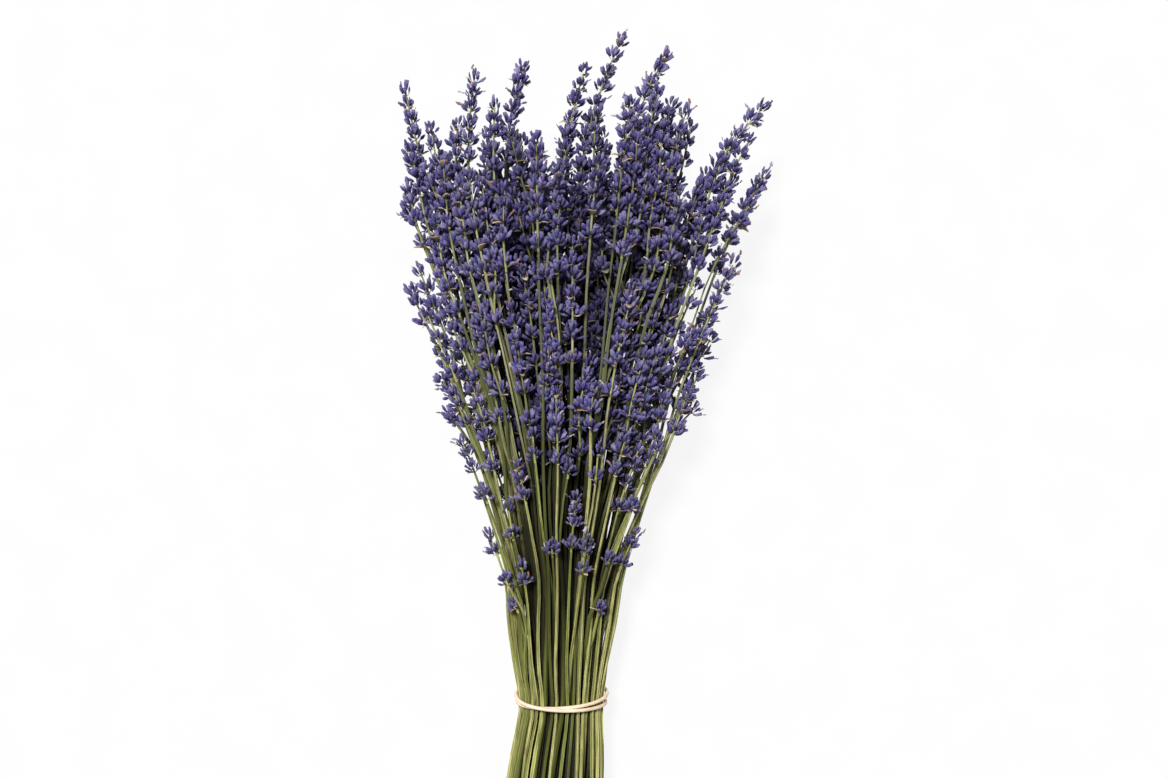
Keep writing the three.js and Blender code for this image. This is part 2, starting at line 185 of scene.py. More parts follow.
# a sprig given by the place of its tip
def outlineSprig(x, y, length, bend, lie, node):
    middle, halfWidth, _, _ = outlineAt(y)
    across = (x - bend - middle) / (halfWidth - bunch["stemRadius"])
    return makeSprig(across, lie, y, length, bend, node, True)


def cutAndTurn(sprig, dice):
    sprig["cutY"] = bunch["cutNearest"] - bunch["cutSpread"] * next(dice)
    sprig["turn"] = 2 * math.pi * next(dice)


def layOutSprigs():
    sprigs = [outlineSprig(*spike, node) for node, spike in enumerate(outlineSpikes)]
    dice = diceFrom(bunch["seed"])
    for pair in range(pairs["count"]):
        fromMiddle = pairs["rim"] * ((pair + 0.5) / pairs["count"]) ** pairs["towardsRim"]
        turn = pair * goldenAngle
        towards = next(dice) * math.pi
        fall = fromMiddle * fromMiddle * (pairs["leastFall"] + next(dice))
        tipY = pairs["tipHighest"] - pairs["tipScatter"] * next(dice) - pairs["rimFall"] * fall
        for side in (1, -1):
            across = fromMiddle * math.cos(turn) + side * pairs["apart"] * math.cos(towards)
            lie = fromMiddle * math.sin(turn) + side * pairs["apart"] * math.sin(towards)
            high = min((tipY - pairs["lowest"]) / (pairs["shorterBelow"] - pairs["lowest"]), 1)
            share = pairs["lowShare"] + (1 - pairs["lowShare"]) * high
            length = share * (pairs["leastLength"] + pairs["lengthScatter"] * next(dice))
            bend = pairs["bendMost"] * (next(dice) - 0.5 + pairs["bendOutwards"] * across)
            node = len(outlineSpikes) + pair
            sprigs.append(makeSprig(across, lie, tipY, length, bend, node, False))
            tipY -= pairs["behind"] + pairs["behindScatter"] * next(dice)
    ends = diceFrom(bunch["seed"] + 1)
    for sprig in sprigs:
        cutAndTurn(sprig, ends)
    return sprigs


# painted shade: 0 at the outside of the bunch and at its open end, 1 well inside it, where the
# colour is darkened as though in shade
def paintedShadeOf(line):
    middle, halfWidth, halfHeight, height = outlineAt(line[:, 1])
    out = np.hypot((line[:, 0] - middle) / halfWidth, (line[:, 2] - height) / halfHeight)
    covered = np.clip((bunch["openEnd"] - line[:, 1]) / bunch["openOver"], 0, 1)
    litDepth = np.interp(line[:, 1], [0, bunch["litFrom"]],
                         [bunch["litAtWaist"], bunch["litDepth"]])
    return covered * np.clip((bunch["litRim"] - out) / litDepth, 0, 1)


# stalks fade to a greyish straw towards the flowers
def paleAt(ys):
    return np.clip((ys - bunch["paleFrom"]) / (bunch["paleTo"] - bunch["paleFrom"]), 0, 1)


def startPlaces(sprigs, stationY):
    middle, halfWidth, halfHeight, height = outlineAt(stationY)
    fill = 1 + bunch["waistFill"] * np.maximum(1 - np.abs(stationY) / bunch["waistReach"], 0)
    places = np.zeros((len(sprigs), len(stationY), 2))
    for index, sprig in enumerate(sprigs):
        reach = sprig["tipY"] - sprig["baseY"] + bunch["bendStart"]
        along = np.maximum((stationY - sprig["baseY"] + bunch["bendStart"]) / reach, 0)
        bend = sprig["bend"] * np.minimum(along * along, bunch["bendMost"])
        inwards = 1 - sprig["inwards"] * np.clip(1 - stationY / sprig["baseY"], 0, 1)
        across = sprig["across"] * fill * inwards
        lie = sprig["lie"] * fill * inwards
        places[index, :, 0] = middle + across * (halfWidth - bunch["stemRadius"]) + bend
        places[index, :, 1] = height + lie * (halfHeight - bunch["stemRadius"])
    return places


def roomFor(sprigs, stationY, spikeRoom, stemRoom):
    room = np.zeros((len(sprigs), len(stationY)))
    for index, sprig in enumerate(sprigs):
        inSpike = stationY > sprig["baseY"] - settling["roomBelow"]
        room[index] = np.where(inSpike, spikeRoom, stemRoom)
        room[index][stationY > sprig["tipY"] + settling["roomAbove"]] = 0
    return room


# pushes the sprigs apart; the first ones may be settled already and are then held still
def settle(sprigs, settled=None, spikeRoom=0, stemRoom=0):
    stationY = settling["first"] + settling["step"] * np.arange(settling["stations"])
    middle, halfWidth, halfHeight, height = outlineAt(stationY)
    start = startPlaces(sprigs, stationY)
    held = 0 if settled is None else len(settled)
    if held:
        start[:held] = settled
    moved = np.zeros_like(start)
    room = roomFor(sprigs, stationY, settling["spikeRoom"], settling["stemRoom"])
    inSpike = room == settling["spikeRoom"]
    if held:
        room[held:] = roomFor(sprigs[held:], stationY, spikeRoom, stemRoom)
    node = np.array([sprig["node"] for sprig in sprigs])
    outline = np.array([sprig["outline"] for sprig in sprigs])
    gives = np.where(outline, settling["outlineYield"], 1.0)
    gives[:held] = 0
    both = (room[:, None] > 0) & (room[None] > 0)
    both &= ~np.eye(len(sprigs), dtype=bool)[:, :, None]
    tiny = 1e-9
    leaning = (node[:, None] == node[None])[:, :, None] & inSpike[:, None] & inSpike[None]
    need = np.where(leaning, 2 * settling["partnerRoom"], room[:, None] + room[None])
    total = gives[:, None] + gives[None]
    weight = np.where(total > 0, gives[:, None] / np.maximum(total, tiny), 0)[:, :, None]
    wide = halfWidth - bunch["stemRadius"]
    tall = halfHeight - bunch["stemRadius"]
    floor = np.where(inSpike, settling["aboveTable"], bunch["stemRadius"] + bunch["stemGap"])
    freeOutline = outline[:, None] & (stationY > settling["heldBelow"])[None]
    for number in range(settling["rounds"]):
        place = start + moved
        apart = place[:, None] - place[None]
        distance = np.sqrt((apart ** 2).sum(3)) + tiny
        pushing = both & ((distance < need) | leaning)
        share = np.where(pushing, settling["strength"] * (need - distance) / distance, 0) * weight
        place += (apart * share[..., None]).sum(1)
        px = place[..., 0] - middle
        pz = place[..., 1] - height
        out = np.sqrt((px / wide) ** 2 + (pz / tall) ** 2)
        shrink = np.where((out > 1) & ~freeOutline, out, 1)
        place[..., 0] = px / shrink + middle
        place[..., 1] = np.maximum(pz / shrink + height, floor)
        moved = place - start
        moved[:held] = 0
        if number < settling["rounds"] - settling["freeRounds"]:
            between = (moved[:, :-2] + moved[:, 2:]) / 2
            moved[:, 1:-1] += settling["smoothing"] * (between - moved[:, 1:-1])
    return start + moved


# points of a sprig at the heights ys: smooth curves through the stations
def lineOf(places, ys):
    ys = np.asarray(ys, float)
    along = (ys - settling["first"]) / settling["step"]
    last = settling["stations"] - 2
    station = np.clip(np.floor(along).astype(int), 0, last)
    t = (along - station)[:, None]
    before = places[np.maximum(station - 1, 0)]
    here = places[station]
    after = places[station + 1]
    beyond = places[np.minimum(station + 2, last + 1)]
    curve = 0.5 * (2 * here + (after - before) * t
                   + (2 * before - 5 * here + 4 * after - beyond) * t ** 2
                   + (3 * here - before - 3 * after + beyond) * t ** 3)
    return np.column_stack([curve[:, 0], ys, curve[:, 1]])


def bandLine(turn, hugs=0.0):
    turn = np.asarray(turn, float)
    sinceCrossing = turn - rubberBand["crossing"]
    climb = np.abs(sinceCrossing) * math.pi / (2 * rubberBand["humpReach"])
    hump = np.where(climb < math.pi / 2, rubberBand["hump"] * np.cos(climb), 0)
    off = rubberBand["gap"] + (1 + bunch["flareWidth"]) * rubberBand["radius"] + hump
    sideways = rubberBand["sideways"] * np.sin(sinceCrossing / 2)
    y = rubberBand["at"] + sideways - rubberBand["dip"] * np.sin(turn)
    middle, halfWidth, halfHeight, height = outlineAt(y)
    halfWidth = halfWidth - hugs * np.cos(turn) ** 2
    return np.column_stack([middle + (halfWidth + off) * np.cos(turn), y,
                            height + (halfHeight + off) * np.sin(turn)])


# where y = 0 of the bunch lies in the frame: the solid band's own box gives it
def findShift():
    steps = np.arange(rubberBand["solidSteps"]) / rubberBand["solidSteps"]
    turns = rubberBand["crossing"] - 2 * math.pi + 4 * math.pi * steps
    centre = bandLine(turns)
    nudge = 0.01
    tangent = bandLine(turns + nudge) - bandLine(turns - nudge)
    tangent /= np.linalg.norm(tangent, axis=1)[:, None]
    side = np.array([0.0, 1.0, 0.0]) - tangent * tangent[:, 1:2]
    side /= np.linalg.norm(side, axis=1)[:, None]
    outwards = np.cross(side, tangent)
    corners = []
    for corner in range(rubberBand["solidSides"]):
        angle = 2 * math.pi * (corner + 0.5) / rubberBand["solidSides"]
        corners.append(centre + rubberBand["radius"] * (side * math.cos(angle)
                                                        - outwards * math.sin(angle)))
    raw = np.concatenate(corners)
    low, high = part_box("rubber_band")
    shift = (np.array(low) + np.array(high)) / (2 * mm) - (raw.min(0) + raw.max(0)) / 2
    shift[2] = 0
    return shift


shift = findShift()
print("band found, shift", shift.round(3))


def toFrame(points):
    return (np.asarray(points) + shift) * mm


def newObject(name, data):
    made = bpy.data.objects.new(name, data)
    bpy.context.scene.collection.objects.link(made)
    return made


# helpers for node trees: a value is a number, a socket, or a list of sockets for one input
def wire(tree, node, sockets):
    for key, value in sockets.items():
        for one in value if isinstance(value, list) else [value]:
            if isinstance(one, bpy.types.NodeSocket):
                tree.links.new(one, node.inputs[key])
            else:
                node.inputs[key].default_value = one


def put(tree, kind, sockets=None, out=0, **settings):
    node = tree.nodes.new(kind)
    for name, value in settings.items():
        setattr(node, name, value)
    wire(tree, node, sockets or {})
    return node.outputs[out]


def sums(tree, operation, a, b=0.0, c=0.0):
    return put(tree, "ShaderNodeMath", {0: a, 1: b, 2: c}, operation=operation)


def times(tree, a, b):
    return sums(tree, "MULTIPLY", a, b)


def mixed(tree, share, a, b):
    return sums(tree, "MULTIPLY_ADD", sums(tree, "SUBTRACT", b, a), share, a)


def vectors(tree, operation, a, b=(0, 0, 0)):
    return put(tree, "ShaderNodeVectorMath", {0: a, 1: b}, operation=operation)


def scaled(tree, vector, factor):
    return put(tree, "ShaderNodeVectorMath", {"Vector": vector, "Scale": factor},
               operation="SCALE")


# one direction turned by an angle towards another, square to it
def turned(tree, start, towards, angle):
    return vectors(tree, "ADD", scaled(tree, start, sums(tree, "COSINE", angle)),
                   scaled(tree, towards, sums(tree, "SINE", angle)))


def startTree(name, inputs):
    tree = bpy.data.node_groups.new(name, "GeometryNodeTree")
    tree.interface.new_socket("Geometry", in_out="INPUT", socket_type="NodeSocketGeometry")
    for label, kind in inputs:
        tree.interface.new_socket(label, in_out="INPUT", socket_type="NodeSocket" + kind)
    tree.interface.new_socket("Geometry", in_out="OUTPUT", socket_type="NodeSocketGeometry")
    return tree, tree.nodes.new("NodeGroupInput").outputs


def closeTree(tree, geometry):
    wire(tree, tree.nodes.new("NodeGroupOutput"), {0: geometry})
    return tree


def attribute(tree, name, kind="FLOAT"):
    return put(tree, "GeometryNodeInputNamedAttribute", {"Name": name}, data_type=kind)


def store(tree, geometry, name, value, kind="FLOAT", domain="POINT"):
    return put(tree, "GeometryNodeStoreNamedAttribute",
               {"Geometry": geometry, "Name": name, "Value": value}, data_type=kind,
               domain=domain)


def randomFloat(tree, between, seed, offset):
    return put(tree, "FunctionNodeRandomValue",
               {2: between[0], 3: between[1], 8: sums(tree, "ADD", seed, offset)}, out=1,
               data_type="FLOAT")


def randomIndex(tree, shapes, seed, offset):
    return put(tree, "FunctionNodeRandomValue",
               {4: 0, 5: len(shapes) - 1, 8: sums(tree, "ADD", seed, offset)}, out=2,
               data_type="INT")


def placed(tree, geometry, **where):
    return put(tree, "GeometryNodeSetPosition", {"Geometry": geometry, **where})


def coated(tree, geometry, material, selection=True):
    return put(tree, "GeometryNodeSetMaterial",
               {"Geometry": geometry, "Selection": selection, "Material": material})


def circle(tree, sides):
    return put(tree, "GeometryNodeCurvePrimitiveCircle", {"Resolution": sides, "Radius": 1.0})


# sweeps a profile along a curve, as wide as the guide says
def swept(tree, curve, profile):
    return put(tree, "GeometryNodeCurveToMesh",
               {"Curve": curve, "Profile Curve": profile, "Scale": attribute(tree, "width"),
                "Fill Caps": True})


def smoothAndReal(tree, geometry, smooth=True):
    geometry = put(tree, "GeometryNodeSetShadeSmooth",
                   {"Geometry": geometry, "Shade Smooth": smooth})
    return put(tree, "GeometryNodeRealizeInstances", {"Geometry": geometry})


# what would lie below the table is pressed flat on it
def pressOnTable(tree, geometry, table):
    position = put(tree, "GeometryNodeInputPosition")
    x, y, z = put(tree, "ShaderNodeSeparateXYZ", {0: position}).node.outputs
    pressed = put(tree, "ShaderNodeCombineXYZ", {0: x, 1: y, 2: sums(tree, "MAXIMUM", z, table)})
    return placed(tree, geometry, Position=pressed)


# runs a tree on its guide; the result stays as a plain mesh
def grow(name, guide, tree, values):
    piece = newObject(name, guide)
    modifier = piece.modifiers.new("grown", "NODES")
    modifier.node_group = tree
    for item in tree.interface.items_tree:
        if item.in_out == "INPUT" and item.name in values:
            modifier[item.identifier] = values[item.name]
    view = bpy.context.evaluated_depsgraph_get()
    grown = bpy.data.meshes.new_from_object(
        piece.evaluated_get(view), preserve_all_data_layers=True, depsgraph=view)
    piece.modifiers.remove(modifier)
    piece.data = grown
    grown.name = name
    bpy.data.meshes.remove(guide)
    return piece


# points and edges with layers of whole numbers, numbers or directions, one for each point
def guideMesh(name, points, edges, layers):
    mesh = bpy.data.meshes.new(name)
    mesh.from_pydata([tuple(point) for point in points], edges, [])
    for label, values in layers.items():
        values = np.asarray(values)
        number = "INT" if values.dtype.kind == "i" else "FLOAT"
        kind, field = ("FLOAT_VECTOR", "vector") if values.ndim == 2 else (number, "value")
        mesh.attributes.new(label, kind, "POINT").data.foreach_set(field, values.ravel())
    return mesh


# a tube with ridges that follows every line of the guide
def makeSweptTree():
    tree, given = startTree("sweptTube", [
        ("Sides", "Int"), ("Valley", "Float"), ("Rounded", "Bool"), ("Table", "Float"),
        ("Side Material", "Material"), ("End Material", "Material")])
    curve = put(tree, "GeometryNodeMeshToCurve", {"Mesh": given["Geometry"]})
    curve = put(tree, "GeometryNodeSetCurveTilt",
                {"Curve": curve, "Tilt": attribute(tree, "twist")})
    number = put(tree, "GeometryNodeInputIndex")
    odd = sums(tree, "MODULO", number, 2.0)
    squeezed = scaled(tree, put(tree, "GeometryNodeInputPosition"),
                      mixed(tree, odd, 1.0, given["Valley"]))
    profile = placed(tree, circle(tree, given["Sides"]), Position=squeezed)
    # the grooves are marked so that the colour darkens there as painted shade
    profile = store(tree, profile, "valley", odd)
    # painted shade: one side of each stem is darker than the other; the stem's turn sets which
    # side
    around = sums(tree, "DIVIDE", number, times(tree, given["Sides"], 0.5))
    shady = sums(tree, "ABSOLUTE", sums(tree, "SUBTRACT", around, 1.0))
    profile = store(tree, profile, "shady", shady)
    tube = pressOnTable(tree, swept(tree, curve, profile), given["Table"])
    # the sides have four corners, the cut ends more
    corners = put(tree, "GeometryNodeInputMeshFaceNeighbors")
    isEnd = put(tree, "FunctionNodeCompare", {2: corners, 3: 4}, data_type="INT",
                operation="GREATER_THAN")
    isSide = put(tree, "FunctionNodeBooleanMath", {0: isEnd}, operation="NOT")
    rounded = put(tree, "FunctionNodeBooleanMath", {0: isSide, 1: given["Rounded"]},
                  operation="AND")
    tube = coated(tree, smoothAndReal(tree, tube, rounded), given["Side Material"])
    return closeTree(tree, coated(tree, tube, given["End Material"], isEnd))


# Materials. A look holds its colours, its noise patterns (scale, stretch, detail), the values
# stored on the mesh that it reads, the ramp of its base colour with what that follows (pattern,
# share of it, share of the tint), and the coats over it: value, where it comes in, share there,
# colour. Roughness and bump follow a pattern too.
def noise(tree, scale, stretch=(1.0, 1.0, 1.0), detail=3.0):
    places = put(tree, "ShaderNodeTexCoord", out=3)
    places = put(tree, "ShaderNodeMapping", {"Vector": places, "Scale": stretch})
    return put(tree, "ShaderNodeTexNoise", {"Vector": places, "Scale": scale, "Detail": detail})


def shades(tree, fac, stops):
    node = tree.nodes.new("ShaderNodeValToRGB")
    ramp = node.color_ramp
    while len(ramp.elements) < len(stops):
        ramp.elements.new(0.5)
    for element, (place, colour) in zip(ramp.elements, stops):
        element.position = place
        element.color = (*colour, 1)
    wire(tree, node, {0: fac})
    return node.outputs[0]


def ranged(tree, value, where, share):
    return put(tree, "ShaderNodeMapRange",
               {0: value, 1: where[0], 2: where[1], 3: share[0], 4: share[1]})


def makeMaterial(name, look, addValues=None):
    material = bpy.data.materials.new(name)
    material.use_nodes = True
    tree = material.node_tree
    values = {label: noise(tree, *pattern) for label, pattern in look["patterns"].items()}
    for label in look.get("stored", []):
        values[label] = put(tree, "ShaderNodeAttribute", out=2, attribute_name=label)
    if addValues:
        addValues(tree, values)
    pattern, share, tintShare = look["follows"]
    fac = sums(tree, "MULTIPLY_ADD", values[pattern], share,
               times(tree, values.get("tint", 0.0), tintShare))
    colour = shades(tree, fac, [(place, look[shade]) for place, shade in look["ramp"]])
    for value, where, share, coat in look.get("coats", []):
        over = (*look[coat], 1) if coat in look else values[coat]
        colour = put(tree, "ShaderNodeMix",
                     {0: ranged(tree, values[value], where, share), 6: colour, 7: over},
                     out=2, data_type="RGBA")
    sockets = {"Base Color": colour, **look.get("sockets", {})}
    if "rough" in look:
        value, where, rough = look["rough"]
        sockets["Roughness"] = ranged(tree, values[value], where, rough)
    if "bump" in look:
        value, strength, distance = look["bump"]
        sockets["Normal"] = put(tree, "ShaderNodeBump", {
            "Height": values[value], "Strength": strength, "Distance": distance})
    wire(tree, tree.nodes["Principled BSDF"], sockets)
    return material


stemLook = {
    # the near-black of the painted shade far inside the bunch
    "paintedShade": (0.007, 0.006, 0.003),
    "dark": (0.058, 0.064, 0.012),
    "green": (0.225, 0.250, 0.062),
    "yellow": (0.570, 0.590, 0.170),
    "straw": (0.770, 0.730, 0.300),
    "pale": (0.340, 0.340, 0.250),
    "dull": (0.140, 0.145, 0.095),
    "brown": (0.160, 0.100, 0.045),
    "patterns": {"streaks": (900.0, (1.0, 0.03, 1.0)), "patches": (55.0, (1.0, 0.35, 1.0)),
                 "spots": (130.0, (1.0, 0.5, 1.0), 4.0)},
    "stored": ["tint", "valley", "shady", "pale", "paintedShade"],
    "follows": ("patches", 0.45, 0.8),
    "ramp": [(0.20, "dark"), (0.46, "green"), (0.72, "yellow"), (0.98, "straw")],
    "coats": [
        ("streaks", (0.35, 0.7), (0.0, 0.55), "dark"),
        # painted shade in the stem's grooves; the flower stalks take an even share of it all over
        ("valley", (0.0, 1.0), (0.0, 0.7), "dark"),
        # painted shade on one side of each stem
        ("shady", (0.45, 0.85), (0.0, 0.55), "dark"),
        ("spots", (0.62, 0.74), (0.0, 0.7), "brown"),
        ("pale", (0.0, 1.0), (0.0, 0.5), "faded"),
        # painted shade: darker the further a point lies inside the bunch
        ("paintedShade", (0.0, 1.0), (0.0, 0.95), "paintedShade"),
    ],
    "rough": ("streaks", (0.3, 0.7), (0.55, 0.8)),
    "bump": ("streaks", 0.5, 0.0002),
    "sockets": {"Specular IOR Level": 0.18},
}

pithLook = {
    "hollow": (0.30, 0.24, 0.11),
    "woody": (0.62, 0.55, 0.33),
    "patterns": {"grains": (2600.0,)},
    "follows": ("grains", 1.0, 0.0),
    "ramp": [(0.3, "hollow"), (0.7, "woody")],
    "bump": ("grains", 0.6, 0.0002),
    "sockets": {"Roughness": 0.9},
}

budLook = {
    # the dark blue of the painted shade far inside the bunch
    "paintedShade": (0.012, 0.007, 0.052),
    "ink": (0.022, 0.012, 0.115),
    "indigo": (0.066, 0.044, 0.265),
    "violet": (0.148, 0.100, 0.470),
    "purple": (0.175, 0.085, 0.370),
    "steel": (0.175, 0.185, 0.400),
    "lilac": (0.540, 0.470, 0.820),
    "ridge": (0.330, 0.270, 0.740),
    "blue": (0.085, 0.130, 0.330),
    "foot": (0.085, 0.060, 0.085),
    "tip": (0.440, 0.400, 0.640),
    "aged": (0.140, 0.135, 0.210),
    "hair": (0.560, 0.520, 0.860),
    "ribCount": 9,
    "ribHeight": 0.5,
    "otherTint": 7.31,
    "patterns": {"mottle": (700.0,), "fuzz": (4200.0, (1.0, 1.0, 1.0), 2.0)},
    "stored": ["tint", "age", "paintedShade"],
    "follows": ("mottle", 0.3, 0.88),
    "ramp": [(0.14, "ink"), (0.40, "indigo"), (0.62, "violet"), (0.80, "steel"),
             (0.94, "lilac")],
    "coats": [
        ("other", (0.5, 1.0), (0.0, 0.6), "blue"),
        ("other", (0.35, 0.0), (0.0, 0.6), "purple"),
        ("age", (0.6, 1.0), (0.0, 0.55), "aged"),
        ("along", (0.08, 0.34), (0.85, 0.0), "foot"),
        ("along", (0.72, 1.0), (0.0, 0.7), "tip"),
        # painted shade in the grooves between the ribs and painted highlight along the raised ribs
        ("ribs", (-1.0, 0.4), (0.6, 0.0), "ink"),
        ("ribs", (0.55, 1.0), (0.0, 0.20), "ridge"),
        ("fuzz", (0.58, 0.72), (0.0, 0.5), "hair"),
        # painted shade: darker the further a bud lies inside the bunch
        ("paintedShade", (0.0, 1.0), (0.0, 0.84), "paintedShade"),
    ],
    "rough": ("fuzz", (0.3, 0.7), (0.30, 0.62)),
    "bump": ("ribbed", 0.9, 0.0004),
    "sockets": {"Sheen Weight": 0.12, "Sheen Roughness": 0.35,
                "Sheen Tint": (0.62, 0.58, 1.0, 1), "Specular IOR Level": 0.30},
}

corollaLook = {
    "paintedShade": budLook["paintedShade"],
    "stained": (0.090, 0.045, 0.040),
    "rust": (0.330, 0.160, 0.110),
    "violet": (0.250, 0.170, 0.380),
    "lilac": (0.470, 0.380, 0.600),
    "papery": (0.620, 0.540, 0.560),
    "patterns": {"creases": (2400.0,)},
    "stored": ["tint", "paintedShade"],
    "follows": ("creases", 0.35, 0.75),
    "ramp": [(0.12, "stained"), (0.34, "rust"), (0.52, "violet"), (0.74, "lilac"),
             (0.95, "papery")],
    # painted shade far inside the bunch
    "coats": [("paintedShade", (0.0, 1.0), (0.0, 0.8), "paintedShade")],
    "rough": ("creases", (0.3, 0.7), (0.6, 0.85)),
    "bump": ("creases", 0.7, 0.0003),
    "sockets": {"Sheen Weight": 0.2},
}

bractLook = {
    "paintedShade": stemLook["paintedShade"],
    "bark": (0.110, 0.065, 0.045),
    "brown": (0.260, 0.180, 0.110),
    "tan": (0.500, 0.380, 0.240),
    "papery": (0.680, 0.550, 0.370),
    "patterns": {"veins": (1600.0, (1.0, 0.25, 1.0))},
    "stored": ["tint", "paintedShade"],
    "follows": ("veins", 0.4, 0.7),
    "ramp": [(0.12, "bark"), (0.38, "brown"), (0.62, "tan"), (0.88, "papery")],
    # painted shade far inside the bunch
    "coats": [("paintedShade", (0.0, 1.0), (0.0, 0.8), "paintedShade")],
    "rough": ("veins", (0.3, 0.7), (0.55, 0.8)),
    "bump": ("veins", 0.6, 0.0003),
}

rubberLook = {
    "tan": (0.700, 0.510, 0.350),
    "beige": (0.820, 0.640, 0.460),
    "cream": (0.900, 0.760, 0.600),
    "stretched": (0.62, 0.44, 0.27),
    "patterns": {"clouds": (260.0, (1.0, 1.0, 1.0), 4.0), "lines": (520.0, (1.0, 14.0, 1.0), 2.0)},
    "follows": ("clouds", 1.0, 0.0),
    "ramp": [(0.28, "tan"), (0.5, "beige"), (0.75, "cream")],
    "coats": [("lines", (0.55, 0.75), (0.0, 0.35), "stretched")],
    "rough": ("lines", (0.3, 0.7), (0.38, 0.55)),
    "bump": ("lines", 0.4, 0.0002),
    "sockets": {"Specular IOR Level": 0.5},
}


# dull stems fade to a duller shade than bright ones
def addStemValues(tree, values):
    values["faded"] = shades(tree, values["tint"],
                             [(0.0, stemLook["dull"]), (1.0, stemLook["pale"])])


# a bud's ribs and ends follow its own map; the ribs give the bump and the painted shade and
# highlight on them; a second tint comes from the first
def addBudValues(tree, values):
    places = put(tree, "ShaderNodeUVMap", uv_map="budMap")
    around, values["along"], _ = put(tree, "ShaderNodeSeparateXYZ", {0: places}).node.outputs
    values["other"] = sums(tree, "FRACT", times(tree, values["tint"], budLook["otherTint"]))
    values["ribs"] = sums(tree, "SINE", times(tree, around, 2 * math.pi * budLook["ribCount"]))
    values["ribbed"] = sums(tree, "MULTIPLY_ADD", values["ribs"], budLook["ribHeight"],
                            values["fuzz"])


stemSkin = makeMaterial("dryStemSkin", stemLook, addStemValues)
pith = makeMaterial("stemPith", pithLook)
budSkin = makeMaterial("lavenderBud", budLook, addBudValues)
corollaSkin = makeMaterial("witheredCorolla", corollaLook)
bractSkin = makeMaterial("paperyBract", bractLook)
rubber = makeMaterial("paleRubber", rubberLook)
print("materials made")


def newShape(name, points, faces):
    mesh = bpy.data.meshes.new(name)
    mesh.from_pydata(points, [], faces)
    mesh.polygons.foreach_set("use_smooth", [True] * len(mesh.polygons))
    return newObject(name, mesh)


# how far the middle of a ring shape's ends stands off its first and last ring
ringEnds = {"foot": 0.04, "point": 0.06, "mouth": 0.04}


# small shapes that repeat: a closed skin through rings, along +Z, bending towards -X
def ringShape(name, rings, sides, bendBack, flat=1.0, ragged=0.0, twist=0.0):
    points = []
    for number, (along, radius) in enumerate(rings):
        for side in range(sides):
            angle = 2 * math.pi * side / sides + twist * number
            out = radius * (1 + ragged * (1 if (side + number) % 2 else -1))
            points.append((out * math.cos(angle) - bendBack * along * along,
                           out * flat * math.sin(angle), along))
    faces = []
    for number in range(len(rings) - 1):
        for side in range(sides):
            following = (side + 1) % sides
            faces.append((number * sides + side, number * sides + following,
                          (number + 1) * sides + following, (number + 1) * sides + side))
    foot = len(points)
    points.append((0, 0, rings[0][0] - ringEnds["foot"]))
    tip = len(points)
    pointed = rings[-1][0] > rings[-2][0]
    end = rings[-1][0] + (ringEnds["point"] if pointed else -ringEnds["mouth"])
    points.append((-bendBack * end * end, 0, end))
    top = (len(rings) - 1) * sides
    for side in range(sides):
        following = (side + 1) % sides
        faces.append((foot, following, side))
        faces.append((top + side, top + following, tip))
    shape = newShape(name, points, faces)
    mesh = shape.data
    layer = mesh.uv_layers.new(name="budMap")
    low = min(along for along, radius in rings)
    high = max(along for along, radius in rings)
    for polygon in mesh.polygons:
        corners = [mesh.loops[loop].vertex_index for loop in polygon.loop_indices]
        sideNumbers = [corner % sides for corner in corners if corner < foot]
        wraps = max(sideNumbers) == sides - 1 and min(sideNumbers) == 0
        for loop, corner in zip(polygon.loop_indices, corners):
            side = corner % sides if corner < foot else sideNumbers[0]
            if wraps and side == 0:
                side = sides
            height = (points[corner][2] - low) / (high - low)
            layer.data[loop].uv = (side / sides, min(max(height, 0), 1))
    return shape


# a bud is one unit long; the open one turns in at its mouth
budShapes = [
    ringShape("closedBud", [(0.0, 0.070), (0.52, 0.188), (0.88, 0.108)], 5, 0.14),
    ringShape("plumpBud", [(0.0, 0.075), (0.48, 0.216), (0.86, 0.130)], 5, 0.08),
    ringShape("openBud", [(0.0, 0.065), (0.42, 0.165), (0.95, 0.200), (0.78, 0.090)], 5, 0.10,
              ragged=0.18),
    ringShape("shrunkenBud", [(0.0, 0.055), (0.54, 0.140), (0.92, 0.066)], 5, 0.28, flat=0.8),
]
innerBudShapes = [
    ringShape("innerClosedBud", [(0.0, 0.075), (0.52, 0.198), (0.88, 0.108)], 4, 0.14),
    ringShape("innerPlumpBud", [(0.0, 0.080), (0.48, 0.228), (0.86, 0.130)], 4, 0.08),
]
corollaShapes = [
    ringShape("witheredTube", [(0.0, 0.14), (0.35, 0.20), (0.70, 0.15), (0.95, 0.22)],
              4, 0.35, flat=0.7, ragged=0.3, twist=0.4),
    ringShape("crumpledPetal", [(0.0, 0.10), (0.30, 0.30), (0.60, 0.22), (0.85, 0.12)],
              5, 0.55, flat=0.4, ragged=0.35, twist=0.5),
    ringShape("brokenPetal", [(0.0, 0.08), (0.30, 0.20), (0.62, 0.26), (0.85, 0.12)],
              5, 0.45, flat=0.35, ragged=0.25),
]


